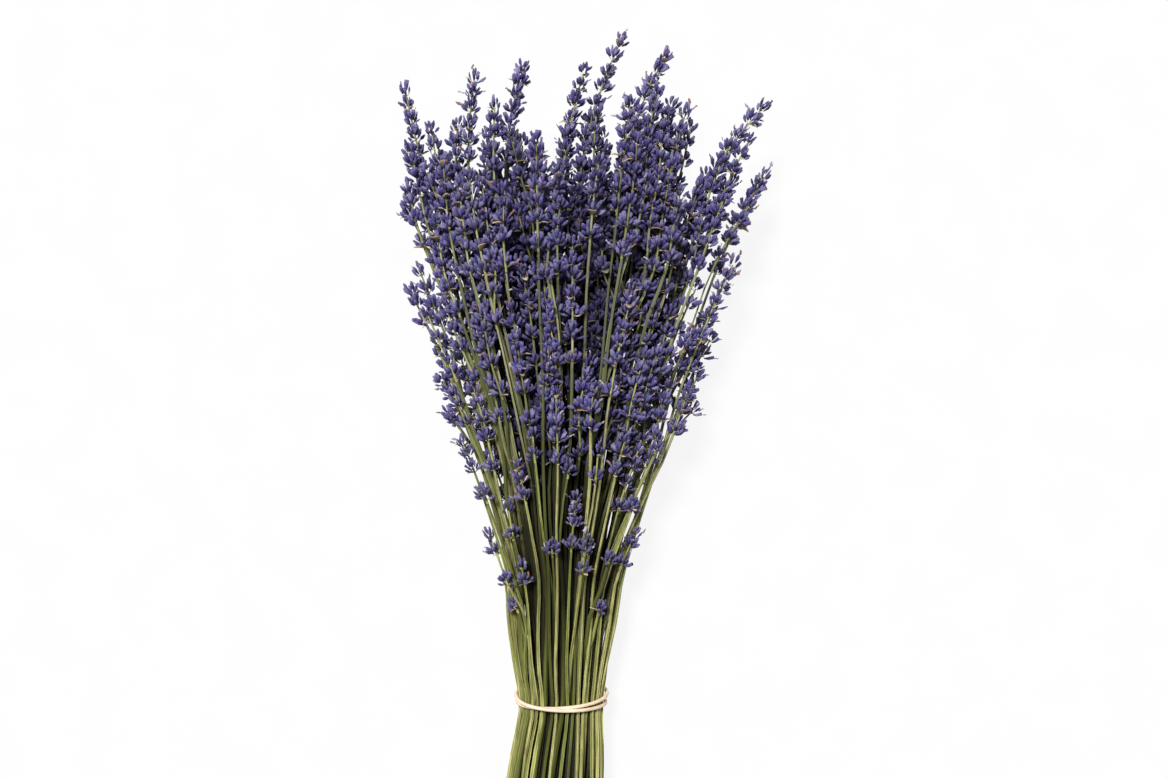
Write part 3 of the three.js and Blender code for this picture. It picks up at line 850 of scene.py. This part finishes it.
# a papery scale: pointed, cupped and closed, lying along +Z with its back towards +X
def bractShape(name, halfWidth, cupped, curledOut):
    rows = [(0.0, 0.30), (0.28, 0.85), (0.55, 1.0), (0.80, 0.62)]
    thick = 0.035
    points = []
    for face in (1, -1):
        for along, wide in rows:
            for across in (-1, 0, 1):
                y = across * wide * halfWidth
                x = -cupped * (y / halfWidth) ** 2 + curledOut * along ** 2 + face * thick
                points.append((x, y, along))
    tip = len(points)
    points.append((curledOut, 0, 1.0))
    faces = []
    back = 3 * len(rows)
    for row in range(len(rows) - 1):
        for column in range(2):
            a = 3 * row + column
            faces.append((a, a + 1, a + 4, a + 3))
            faces.append((back + a, back + a + 3, back + a + 4, back + a + 1))
        for column, flipped in ((0, False), (2, True)):
            a = 3 * row + column
            quad = (a, a + 3, back + a + 3, back + a)
            faces.append(quad[::-1] if flipped else quad)
    top = 3 * (len(rows) - 1)
    for column in range(2):
        faces.append((top + column, top + column + 1, tip))
        faces.append((back + top + column + 1, back + top + column, tip))
        faces.append((column + 1, column, back + column, back + column + 1))
    faces.append((top, tip, back + top))
    faces.append((top + 2, back + top + 2, tip))
    return newShape(name, points, faces)


bractShapes = [
    bractShape("broadBract", 0.42, 0.16, 0.22),
    bractShape("curledBract", 0.34, 0.10, 0.45),
]


def chosenFrom(tree, shapes):
    parts = [put(tree, "GeometryNodeObjectInfo", {"Object": shape, "As Instance": True}, out=4)
             for shape in shapes]
    return put(tree, "GeometryNodeJoinGeometry", {"Geometry": parts[::-1]})


# puts one of the shapes on each point; direction and outward are stored on the points
def scatter(tree, points, shapes, which, rotation, size, material, tint, selection=True):
    made = put(tree, "GeometryNodeInstanceOnPoints",
               {"Points": points, "Selection": selection, "Instance": chosenFrom(tree, shapes),
                "Pick Instance": True, "Instance Index": which, "Rotation": rotation,
                "Scale": size})
    made = store(tree, made, "tint", tint, domain="INSTANCE")
    made = put(tree, "GeometryNodeRealizeInstances", {"Geometry": made})
    return coated(tree, made, material)


# copies of each point, and the number of each copy
def copied(tree, points, amount):
    return put(tree, "GeometryNodeDuplicateElements", {"Geometry": points, "Amount": amount},
               domain="POINT").node.outputs


# how much the buds, corollas and bracts of a whorl differ; angles in radians, sizes as factors
variety = {
    "spin": 0.22,
    "tiltGrowth": 0.75,
    "budSize": (0.64, 1.20),
    "budGirth": (0.84, 1.14),
    "budClimb": 0.25,
    "rootOut": (0.6, 0.8),
    "mouthAt": 0.9,
    "stalkSides": 6,
    "corollaSize": (0.6, 1.3),
    "bractSpin": 0.3,
    "bractTilt": (math.radians(48), math.radians(85)),
    "bractOut": 0.5,
    "bractSize": (0.3, 1.3),
    "bractSmallness": 2.4,
}


def eitherWay(label):
    return -variety[label], variety[label]


# inputs of the whorl tree, each with its key in a spike's dictionary
whorlLengths = {"Bud Length": "budLength", "Root Radius": "rootRadius", "Rise": "rise",
                "Corolla Length": "corollaLength", "Bract Length": "bractLength",
                "Table": "table"}
whorlShares = {"Inner Tilt": "innerTilt", "Outer Tilt": "outerTilt",
               "Tilt Scatter": "tiltScatter", "Pairing": "pairing",
               "Withered Share": "witheredShare"}
whorlMaterials = {"Bud Material": budSkin, "Corolla Material": corollaSkin,
                  "Bract Material": bractSkin, "Stalk Material": stemSkin}


# flower whorls: each loose point of the guide is a whorl, each line is a bare stalk
def makeWhorlTree(name, shapes):
    tree, given = startTree(name, [
        *((label, "Float") for label in {**whorlLengths, **whorlShares}),
        ("Bracts", "Int"), ("Seed", "Int"), *((label, "Material") for label in whorlMaterials)])
    seed = given["Seed"]
    budCount = attribute(tree, "buds", "INT")
    whorls = put(tree, "GeometryNodeMeshToPoints",
                 {"Mesh": given["Geometry"], "Selection": budCount})
    buds, number = copied(tree, whorls, budCount)
    share = sums(tree, "DIVIDE", sums(tree, "ADD", number, 0.5), budCount)
    spin = sums(tree, "MULTIPLY_ADD", number, goldenAngle,
                randomFloat(tree, eitherWay("spin"), seed, 1))
    paired = times(tree, sums(tree, "SINE", times(tree, spin, 2.0)), given["Pairing"])
    turn = attribute(tree, "turn")
    angle = sums(tree, "ADD", sums(tree, "SUBTRACT", spin, paired), turn)
    lean = mixed(tree, sums(tree, "POWER", share, variety["tiltGrowth"]), given["Inner Tilt"],
                 given["Outer Tilt"])
    jitter = times(tree, given["Tilt Scatter"], randomFloat(tree, (-1.0, 1.0), seed, 2))
    spread = attribute(tree, "spread")
    tilt = sums(tree, "MULTIPLY_ADD", lean, spread, jitter)
    axis = attribute(tree, "axis", "FLOAT_VECTOR")
    right = vectors(tree, "NORMALIZE", vectors(tree, "CROSS_PRODUCT", axis, (0, 0, 1)))
    other = vectors(tree, "CROSS_PRODUCT", axis, right)
    outward = turned(tree, right, other, angle)
    size = attribute(tree, "size")
    length = times(tree, times(tree, size, randomFloat(tree, variety["budSize"], seed, 3)),
                   given["Bud Length"])
    climb = randomFloat(tree, eitherWay("budClimb"), seed, 4)
    climb = times(tree, given["Rise"],
                  sums(tree, "ADD", sums(tree, "SUBTRACT", 1.0, share), climb))
    rootLeast, rootGrowth = variety["rootOut"]
    rootOut = times(tree, given["Root Radius"],
                    sums(tree, "MULTIPLY_ADD", share, rootGrowth, rootLeast))
    offset = vectors(tree, "ADD", scaled(tree, outward, rootOut), scaled(tree, axis, climb))
    buds = store(tree, buds, "direction", turned(tree, axis, outward, tilt), "FLOAT_VECTOR")
    buds = store(tree, buds, "outward", outward, "FLOAT_VECTOR")
    buds = placed(tree, store(tree, buds, "length", length), Offset=offset)
    facing = put(tree, "FunctionNodeAxesToRotation",
                 {"Primary Axis": attribute(tree, "direction", "FLOAT_VECTOR"),
                  "Secondary Axis": attribute(tree, "outward", "FLOAT_VECTOR")},
                 primary_axis="Z", secondary_axis="X")
    reach = attribute(tree, "length")
    girth = times(tree, reach, randomFloat(tree, variety["budGirth"], seed, 5))
    grownBuds = scatter(tree, buds, shapes, randomIndex(tree, shapes, seed, 0), facing,
                        put(tree, "ShaderNodeCombineXYZ", {0: girth, 1: girth, 2: reach}),
                        given["Bud Material"], randomFloat(tree, (0.0, 1.0), seed, 6))

    # withered corollas stick out of some of the buds
    mouth = scaled(tree, attribute(tree, "direction", "FLOAT_VECTOR"),
                   times(tree, reach, variety["mouthAt"]))
    roll = put(tree, "FunctionNodeAxisAngleToRotation",
               {"Axis": (0, 0, 1), "Angle": randomFloat(tree, (-math.pi, math.pi), seed, 8)})
    curled = put(tree, "FunctionNodeRotateRotation", {0: facing, 1: roll},
                 rotation_space="LOCAL")
    isWithered = sums(tree, "LESS_THAN", randomFloat(tree, (0.0, 1.0), seed, 10),
                      given["Withered Share"])
    corollas = scatter(tree, placed(tree, buds, Offset=mouth), corollaShapes,
                       randomIndex(tree, corollaShapes, seed, 9), curled,
                       times(tree, given["Corolla Length"],
                             randomFloat(tree, variety["corollaSize"], seed, 7)),
                       given["Corolla Material"], randomFloat(tree, (0.0, 1.0), seed, 11),
                       isWithered)

    # papery bracts hold each whorl
    bracts, number = copied(tree, whorls, given["Bracts"])
    bractSpin = randomFloat(tree, eitherWay("bractSpin"), seed, 12)
    bractAngle = sums(tree, "ADD", sums(tree, "MULTIPLY_ADD", number, math.pi, bractSpin), turn)
    bractOut = turned(tree, right, other, bractAngle)
    bractTilt = times(tree, spread, randomFloat(tree, variety["bractTilt"], seed, 13))
    bracts = store(tree, bracts, "direction", turned(tree, axis, bractOut, bractTilt),
                   "FLOAT_VECTOR")
    bracts = store(tree, bracts, "outward", bractOut, "FLOAT_VECTOR")
    bracts = placed(tree, bracts, Offset=scaled(tree, bractOut, times(
        tree, given["Root Radius"], variety["bractOut"])))
    showing = sums(tree, "POWER", randomFloat(tree, (0.0, 1.0), seed, 14),
                   variety["bractSmallness"])
    bractReach = times(tree, given["Bract Length"],
                       times(tree, size, mixed(tree, showing, *variety["bractSize"])))
    grownBracts = scatter(tree, bracts, bractShapes, randomIndex(tree, bractShapes, seed, 15),
                          facing, bractReach, given["Bract Material"],
                          randomFloat(tree, (0.0, 1.0), seed, 16))

    curve = put(tree, "GeometryNodeMeshToCurve", {"Mesh": given["Geometry"]})
    stalk = swept(tree, curve, circle(tree, variety["stalkSides"]))
    stalk = coated(tree, smoothAndReal(tree, stalk), given["Stalk Material"])
    whole = put(tree, "GeometryNodeJoinGeometry",
                {"Geometry": [grownBuds, corollas, grownBracts, stalk]})
    return closeTree(tree, pressOnTable(tree, whole, given["Table"]))


sweptTree = makeSweptTree()
whorlTree = makeWhorlTree("flowerWhorls", budShapes)
innerWhorlTree = makeWhorlTree("innerWhorls", innerBudShapes)

sprigs = layOutSprigs()
settled = settle(sprigs)
print("bunch laid out:", len(sprigs), "sprigs")

# more spikes that fill the head, whose stems come from deeper in the bunch
filling = {
    "count": 142,
    "parts": 4,
    "firstNode": 1000,
    "across": 0.84,
    "topLie": 0.92,
    "fall": 1.1,
    "fallPower": 1.3,
    "tipStep": 0.7548777,
    "tipScatter": 0.2,
    "tipLowest": 138.0,
    "towardsTop": 0.55,
    "belowHigh": 0.18,
    "highest": 45.0,
    "inwards": 0.5,
    "inwardsLeast": 0.7,
    "inwardsScatter": 0.6,
    "bend": 12.0,
    "length": 30.0,
    "lengthScatter": 30.0,
    "spikeRoom": 2.8,
    "stemRoom": 0.5,
    "seed": 77,
}

# how far the filling reaches at each x across the head
headTop = [(-75, 232), (-66, 252), (-58, 260), (-49, 252), (-38, 260), (-29, 268), (-20, 266),
           (-12, 260), (-4, 258), (2, 266), (9, 271), (16, 270), (23, 262), (30, 271), (43, 278),
           (56, 268), (61, 255), (66, 240), (72, 254), (80, 266), (90, 260)]

# others seen in front or at the edge, as the outline spikes; the short ones are lone whorls
looseSpikes = [
    (87, 263, 56, 12, 0.25), (88, 235, 30, 9, 0.2), (-69, 232, 9, -6, 0.3), (59, 267, 40, 3, 0.4),
    (-28, 275, 44, 4, 0.6), (52, 277, 44, 6, 0.5), (-58, 246, 44, 0, 0.35), (-43, 240, 44, 2, 0.6),
    (-55, 216, 44, -2, 0.4), (-52, 190, 40, -2, 0.5), (38, 262, 44, 3, 0.7),
    (8, 84, 20, 0, 1.0), (33, 100, 8, 0, 0.8), (44, 127, 9, 0, 0.6), (-19, 66, 8, 0, 0.9),
    (-24, 98, 18, 0, 0.9), (-28, 53, 7, -2, 0.5), (21, 52, 7, 0, 0.8), (-3, 82, 9, 0, 1.0),
    (17, 124, 18, 0, 0.95), (-12, 132, 16, 0, 1.0), (-36, 106, 9, 0, 0.7), (26, 76, 8, 0, 0.85),
    (1, 118, 9, 0, 1.0), (54, 148, 22, 3, 0.5), (-46, 150, 20, -3, 0.5), (22, 152, 24, 0, 0.95),
    (-64, 196, 20, -4, 0.2), (-60, 186, 18, -3, 0.4), (-56, 156, 12, -4, 0.2),
    (-51, 141, 10, -3, 0.3), (-50, 166, 14, -2, 0.6), (63, 198, 26, 4, 0.3), (60, 176, 20, 4, 0.3),
    (72, 188, 22, 6, 0.1), (68, 172, 20, 6, -0.1), (62, 158, 14, 5, 0.1), (43, 280, 44, 5, 0.6),
    (49, 272, 40, 4, 0.5), (7, 264, 44, 0, 0.4), (-61, 268, 40, 2, 0.2), (-41, 268, 40, 5, 0.45),
    (-34, 264, 36, 2, 0.5), (16, 272, 40, 3, 0.5), (76, 260, 44, 8, 0.3), (81, 246, 38, 8, 0.1),
    (74, 236, 36, 4, 0.4), (-65, 258, 36, -1, 0.2), (-66, 240, 30, -2, 0.4),
]


def layOutFilling():
    dice = diceFrom(filling["seed"])
    middle, halfWidth, halfHeight, height = outlineAt(bunch["openEnd"])
    made = []
    for number in range(filling["count"]):
        turn = number * goldenAngle
        fromMiddle = math.sqrt((number + 0.5) / filling["count"])
        across = filling["across"] * fromMiddle * math.cos(turn)
        fall = filling["fall"] * next(dice) ** filling["fallPower"]
        lie = filling["topLie"] * math.sqrt(1 - across * across) * (1 - fall)
        share = (number * filling["tipStep"] + filling["tipScatter"] * next(dice)) % 1
        share **= filling["towardsTop"]
        length = filling["length"] + filling["lengthScatter"] * next(dice)
        bend = filling["bend"] * (next(dice) - 0.5)
        x = middle + across * halfWidth + bend
        above = height + lie * halfHeight - filling["highest"]
        tipHighest = np.interp(x, *zip(*headTop)) - filling["belowHigh"] * above
        tipY = filling["tipLowest"] + (tipHighest - filling["tipLowest"]) * share
        made.append(makeSprig(across, lie, tipY, length, bend, filling["firstNode"] + number,
                              False))
    for spike in looseSpikes:
        made.append(outlineSprig(*spike, filling["firstNode"] + len(made)))
    for sprig in made:
        scatterInwards = filling["inwardsLeast"] + filling["inwardsScatter"] * next(dice)
        sprig["inwards"] = filling["inwards"] * scatterInwards
        cutAndTurn(sprig, dice)
    return made


fillingSprigs = layOutFilling()
everyPlace = settle(sprigs + fillingSprigs, settled, filling["spikeRoom"], filling["stemRoom"])
fillingSettled = everyPlace[len(sprigs):]

stems = {
    "sides": 8,
    "step": 9.0,
    "fillingStep": 12.0,
    "intoSpike": 1.0,
    "thinnest": 0.62,
    "thickest": 1.06,
    "topRadius": 0.72,
    "taper": 1.7,
    "valley": 0.76,
    "twistPerMm": 0.004,
    "wobble": 0.18,
    "wobbleTurns": (0.09, 0.07),
    "phases": 6.28,
    "sway": 1.7,
    "swayTurns": 0.046,
    "swayEnds": 30.0,
    "swayAlong": ((30, 90), (1.0, 0.5)),
    "outlineSway": 0.3,
    "tintSpread": 0.75,
    "tintMiddle": 0.54,
    "table": 0.15,
    "seed": 11,
    "fillingSeed": 12,
}


# below the flowers no stem leaves the outline
def keepInside(line):
    middle, halfWidth, halfHeight, height = outlineAt(line[:, 1])
    across = line[:, 0] - middle
    lie = line[:, 2] - height
    out = np.hypot(across / (halfWidth - bunch["stemRadius"]),
                   lie / (halfHeight - bunch["stemRadius"]))
    shrink = np.where(line[:, 1] < settling["heldBelow"], np.maximum(out, 1), 1)
    line[:, 0] = middle + across / shrink
    line[:, 2] = height + lie / shrink


def stemGuide(name, members, placesOf, pace, dice):
    points, edges = [], []
    layers = {key: [] for key in ("width", "twist", "tint", "paintedShade", "pale")}
    for sprig, places in zip(members, placesOf):
        top = sprig["baseY"] + stems["intoSpike"]
        count = max(3, int((top - sprig["cutY"]) / pace) + 1)
        ys = np.linspace(sprig["cutY"], top, count)
        line = lineOf(places, ys)
        phase = stems["phases"] * next(dice)
        line[:, 0] += stems["wobble"] * np.sin(ys * stems["wobbleTurns"][0] + phase)
        line[:, 2] += stems["wobble"] * np.cos(ys * stems["wobbleTurns"][1] + phase)
        sway = stems["sway"] * (2 * next(dice) - 1)
        sway = sway * np.sin(ys * stems["swayTurns"] + stems["phases"] * next(dice))
        sway *= stems["outlineSway"] if sprig["outline"] else np.interp(ys, *stems["swayAlong"])
        line[:, 0] += sway * np.clip((sprig["baseY"] - ys) / stems["swayEnds"], 0, 1)
        keepInside(line)
        size = stems["thinnest"] + (stems["thickest"] - stems["thinnest"]) * next(dice)
        away = 2 * next(dice) - 1
        tint = stems["tintMiddle"] + 0.5 * math.copysign(abs(away) ** stems["tintSpread"], away)
        twist = stems["twistPerMm"] * (next(dice) - 0.5)
        first = len(points)
        points.extend(toFrame(line))
        edges.extend((first + step, first + step + 1) for step in range(count - 1))
        high = np.clip(ys / max(sprig["baseY"], 1), 0, 1) ** stems["taper"]
        radius = bunch["stemRadius"] + (stems["topRadius"] - bunch["stemRadius"]) * high
        layers["width"].extend(radius * size * mm)
        layers["twist"].extend(sprig["turn"] + twist * ys)
        layers["tint"].extend([tint] * count)
        # painted shade, by how far inside the bunch each point lies
        layers["paintedShade"].extend(paintedShadeOf(line))
        layers["pale"].extend(paleAt(ys))
    return guideMesh(name, points, edges, layers)


def makeStemPiece(name, members, placesOf, pace, seed):
    guide = stemGuide(name, members, placesOf, pace, diceFrom(seed))
    return grow(name, guide, sweptTree, {
        "Sides": stems["sides"], "Valley": stems["valley"], "Rounded": False,
        "Table": stems["table"] * mm, "Side Material": stemSkin, "End Material": pith})


def countTriangles(piece):
    piece.data.calc_loop_triangles()
    return len(piece.data.loop_triangles)


stemPiece = makeStemPiece("fine_stems", sprigs, settled, stems["step"], stems["seed"])
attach(stemPiece, "root")
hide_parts("stems")
fillingStemPiece = makeStemPiece("filling_stems", fillingSprigs, fillingSettled,
                                 stems["fillingStep"], stems["fillingSeed"])
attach(fillingStemPiece, "root")
print("stems:", countTriangles(stemPiece), "+", countTriangles(fillingStemPiece), "triangles")


def makeBandPiece():
    count = rubberBand["steps"]
    turns = rubberBand["crossing"] + 4 * math.pi * np.arange(count) / count
    turns -= 2 * math.pi
    line = toFrame(bandLine(turns, rubberBand["hugs"]))
    edges = [(step, (step + 1) % count) for step in range(count)]
    guide = guideMesh("fine_band", line, edges, {"width": [rubberBand["radius"] * mm] * count})
    return grow("fine_band", guide, sweptTree, {
        "Sides": rubberBand["sides"], "Valley": 1.0, "Rounded": True, "Table": 0.0,
        "Side Material": rubber, "End Material": rubber})


bandPiece = makeBandPiece()
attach(bandPiece, "root")
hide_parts("rubber_band")
print("band:", countTriangles(bandPiece), "triangles")

# flower spikes, in millimetres and radians; those that end below lowBelow are small and old
flowers = {
    "pitch": 7.8,
    "crowdingLeast": 0.62,
    "crowdingMost": 0.90,
    "firstAbove": 1.0,
    "topBelow": 6.0,
    "shuffle": 1.2,
    "leastSize": 0.90,
    "sizeScatter": 0.20,
    "smallerAtTop": 0.13,
    "buds": 17,
    "budScatter": 4,
    "topBuds": 9,
    "topSpread": 0.68,
    "closerAtTop": 0.12,
    "spreadScatter": 0.30,
    "budLength": 4.5,
    "rootRadius": 1.30,
    "rise": 3.2,
    "innerTilt": math.radians(10),
    "outerTilt": math.radians(62),
    "tiltScatter": math.radians(18),
    "pairing": 0.22,
    "witheredShare": 0.14,
    "corollaLength": 2.4,
    "bracts": 2,
    "bractLength": 4.6,
    "stalkFoot": 0.60,
    "stalkTip": 0.34,
    "stalkBelow": 0.8,
    "stalkPast": 1.0,
    "stalkStep": 4.0,
    "stalkTint": 0.25,
    "stalkTintScatter": 0.5,
    "stalkValley": 0.3,
    "axisReach": 4.0,
    "lowBelow": 140.0,
    "lowSize": 0.87,
    "lowAge": 0.7,
    "table": 0.1,
    "seed": 200,
    "seedStep": 20,
}
innerFlowers = {**flowers, "buds": 14, "witheredShare": 0.07, "bracts": 1, "seed": 5000}


def planWhorls(sprig, look, dice):
    length = sprig["tipY"] - sprig["baseY"]
    room = length - look["firstAbove"] - look["topBelow"]
    count = max(2, round(room / look["pitch"]) + 1)
    crowding = look["crowdingMost"] - look["crowdingLeast"]
    crowding = look["crowdingLeast"] + crowding * next(dice)
    plan = []
    for number in range(count):
        up = number / (count - 1)
        y = sprig["baseY"] + look["firstAbove"] + room * up ** crowding
        top = number == count - 1
        if not top and number:
            y += look["shuffle"] * (next(dice) - 0.5)
        size = 1.0 - look["smallerAtTop"] * up ** 3
        size *= look["leastSize"] + look["sizeScatter"] * next(dice)
        if sprig["tipY"] < look["lowBelow"]:
            size *= look["lowSize"]
        buds, spread = look["topBuds"], look["topSpread"]
        if not top:
            buds = look["buds"] + round(look["budScatter"] * (next(dice) - 0.5))
            spread = 1.0 - look["closerAtTop"] * up ** 2
            spread += look["spreadScatter"] * (next(dice) - 0.5)
        plan.append((y, size, buds, spread, sprig["turn"] + number * math.pi / 2))
    return plan


def spikeGuide(name, members, look, dice):
    points, edges = [], []
    layers = {key: [] for key in ("width", "axis", "turn", "size", "spread", "age", "tint",
                                  "valley", "paintedShade", "pale", "buds")}
    for sprig, places in members:
        age = next(dice)
        if sprig["tipY"] < look["lowBelow"]:
            age = look["lowAge"] + (1 - look["lowAge"]) * age
        stalkTint = look["stalkTint"] + look["stalkTintScatter"] * next(dice)
        count = max(4, int((sprig["tipY"] - sprig["baseY"]) / look["stalkStep"]))
        ys = np.linspace(sprig["baseY"] - look["stalkBelow"],
                         sprig["tipY"] - look["topBelow"] + look["stalkPast"], count)
        line = lineOf(places, ys)
        first = len(points)
        points.extend(toFrame(line))
        edges.extend((first + step, first + step + 1) for step in range(count - 1))
        up = (ys - ys[0]) / (ys[-1] - ys[0])
        width = look["stalkFoot"] + (look["stalkTip"] - look["stalkFoot"]) * up
        layers["width"].extend(width * mm)
        # painted shade, by how far inside the bunch the stalk and each whorl lie
        layers["paintedShade"].extend(paintedShadeOf(line))
        layers["pale"].extend(paleAt(ys))
        for key, value in (("axis", (0, 1, 0)), ("turn", 0), ("size", 1), ("spread", 1),
                           ("age", age), ("tint", stalkTint), ("valley", look["stalkValley"]),
                           ("buds", 0)):
            layers[key].extend([value] * count)
        for y, size, buds, spread, turn in planWhorls(sprig, look, dice):
            reach = look["axisReach"]
            below, at, above = lineOf(places, [y - reach, y, y + reach])
            axis = (above - below) / np.linalg.norm(above - below)
            points.append(toFrame(at))
            layers["paintedShade"].extend(paintedShadeOf(at[None]))
            for key, value in (("axis", axis), ("turn", turn), ("size", size),
                               ("spread", spread), ("age", age), ("width", 0), ("tint", 0),
                               ("valley", 0), ("pale", 0), ("buds", buds)):
                layers[key].append(value)
    return guideMesh(name, points, edges, layers)


def makeSpikePiece(name, members, tree, look, number):
    seed = look["seed"] + look["seedStep"] * number
    guide = spikeGuide(name, members, look, diceFrom(seed))
    return grow(name, guide, tree, {
        **{label: look[key] * mm for label, key in whorlLengths.items()},
        **{label: look[key] for label, key in whorlShares.items()},
        **whorlMaterials, "Bracts": look["bracts"], "Seed": seed})


flowerTriangles = 0
for number in range(len(outlineSpikes) + pairs["count"]):
    members = [(sprig, places) for sprig, places in zip(sprigs, settled)
               if sprig["node"] == number]
    cadName = "spike_" if number < len(outlineSpikes) else "spike_pair_"
    cadName += str(number + 1).zfill(2)
    piece = makeSpikePiece("flowers_" + cadName, members, whorlTree, flowers, number)
    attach(piece, "root")
    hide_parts(cadName)
    flowerTriangles += countTriangles(piece)
print("flowers:", flowerTriangles, "triangles")

for part in range(filling["parts"]):
    members = list(zip(fillingSprigs, fillingSettled))[part::filling["parts"]]
    piece = makeSpikePiece("filling_flowers_" + str(part + 1), members, innerWhorlTree,
                           innerFlowers, part)
    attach(piece, "root")
    print("filling flowers:", countTriangles(piece), "triangles")

for shape in budShapes + innerBudShapes + corollaShapes + bractShapes:
    bpy.data.objects.remove(shape)

# the setting: a pale floor, soft light and a camera that looks straight down
setting = {
    "floorHalf": 3.0,
    "cameraHeight": 0.695,
    "cameraX": 10.85,
    "cameraY": 148.0,
    "lens": 44.52,
    "sensor": 36.0,
    "keyStrength": 4.2,
    "keySoftness": math.radians(14),
    "keyTurn": (math.radians(-24), math.radians(-14), 0),
    "skyStrength": 0.26,
}

floorLook = {
    "dim": (0.065, 0.065, 0.065),
    "bright": (0.075, 0.075, 0.075),
    "patterns": {"grain": (40.0,)},
    "follows": ("grain", 1.0, 0.0),
    "ramp": [(0.3, "dim"), (0.7, "bright")],
    "sockets": {"Emission Color": (1, 1, 1, 1), "Emission Strength": 0.89, "Roughness": 0.9,
                "Specular IOR Level": 0.1},
}


def makeFloor():
    half = setting["floorHalf"]
    mesh = bpy.data.meshes.new("floor")
    mesh.from_pydata([(-half, -half, 0), (half, -half, 0), (half, half, 0), (-half, half, 0)],
                     [], [(0, 1, 2, 3)])
    mesh.materials.append(makeMaterial("paleFloor", floorLook))
    floor = newObject("floor", mesh)


def makeLight():
    key = bpy.data.lights.new("keyLight", "SUN")
    key.energy = setting["keyStrength"]
    key.angle = setting["keySoftness"]
    newObject("keyLight", key).rotation_euler = setting["keyTurn"]
    sky = bpy.data.worlds.new("softSky")
    sky.use_nodes = True
    wire(sky.node_tree, sky.node_tree.nodes["Background"],
         {"Color": (1, 1, 1, 1), "Strength": setting["skyStrength"]})
    bpy.context.scene.world = sky


def makeCamera():
    camera = bpy.data.cameras.new("camera")
    camera.lens = setting["lens"]
    camera.sensor_width = setting["sensor"]
    holder = newObject("camera", camera)
    x, y, _ = toFrame((setting["cameraX"], setting["cameraY"], 0))
    holder.location = (x, y, setting["cameraHeight"])
    bpy.context.scene.camera = holder


makeFloor()
makeLight()
makeCamera()
bpy.context.scene.view_settings.view_transform = "Standard"
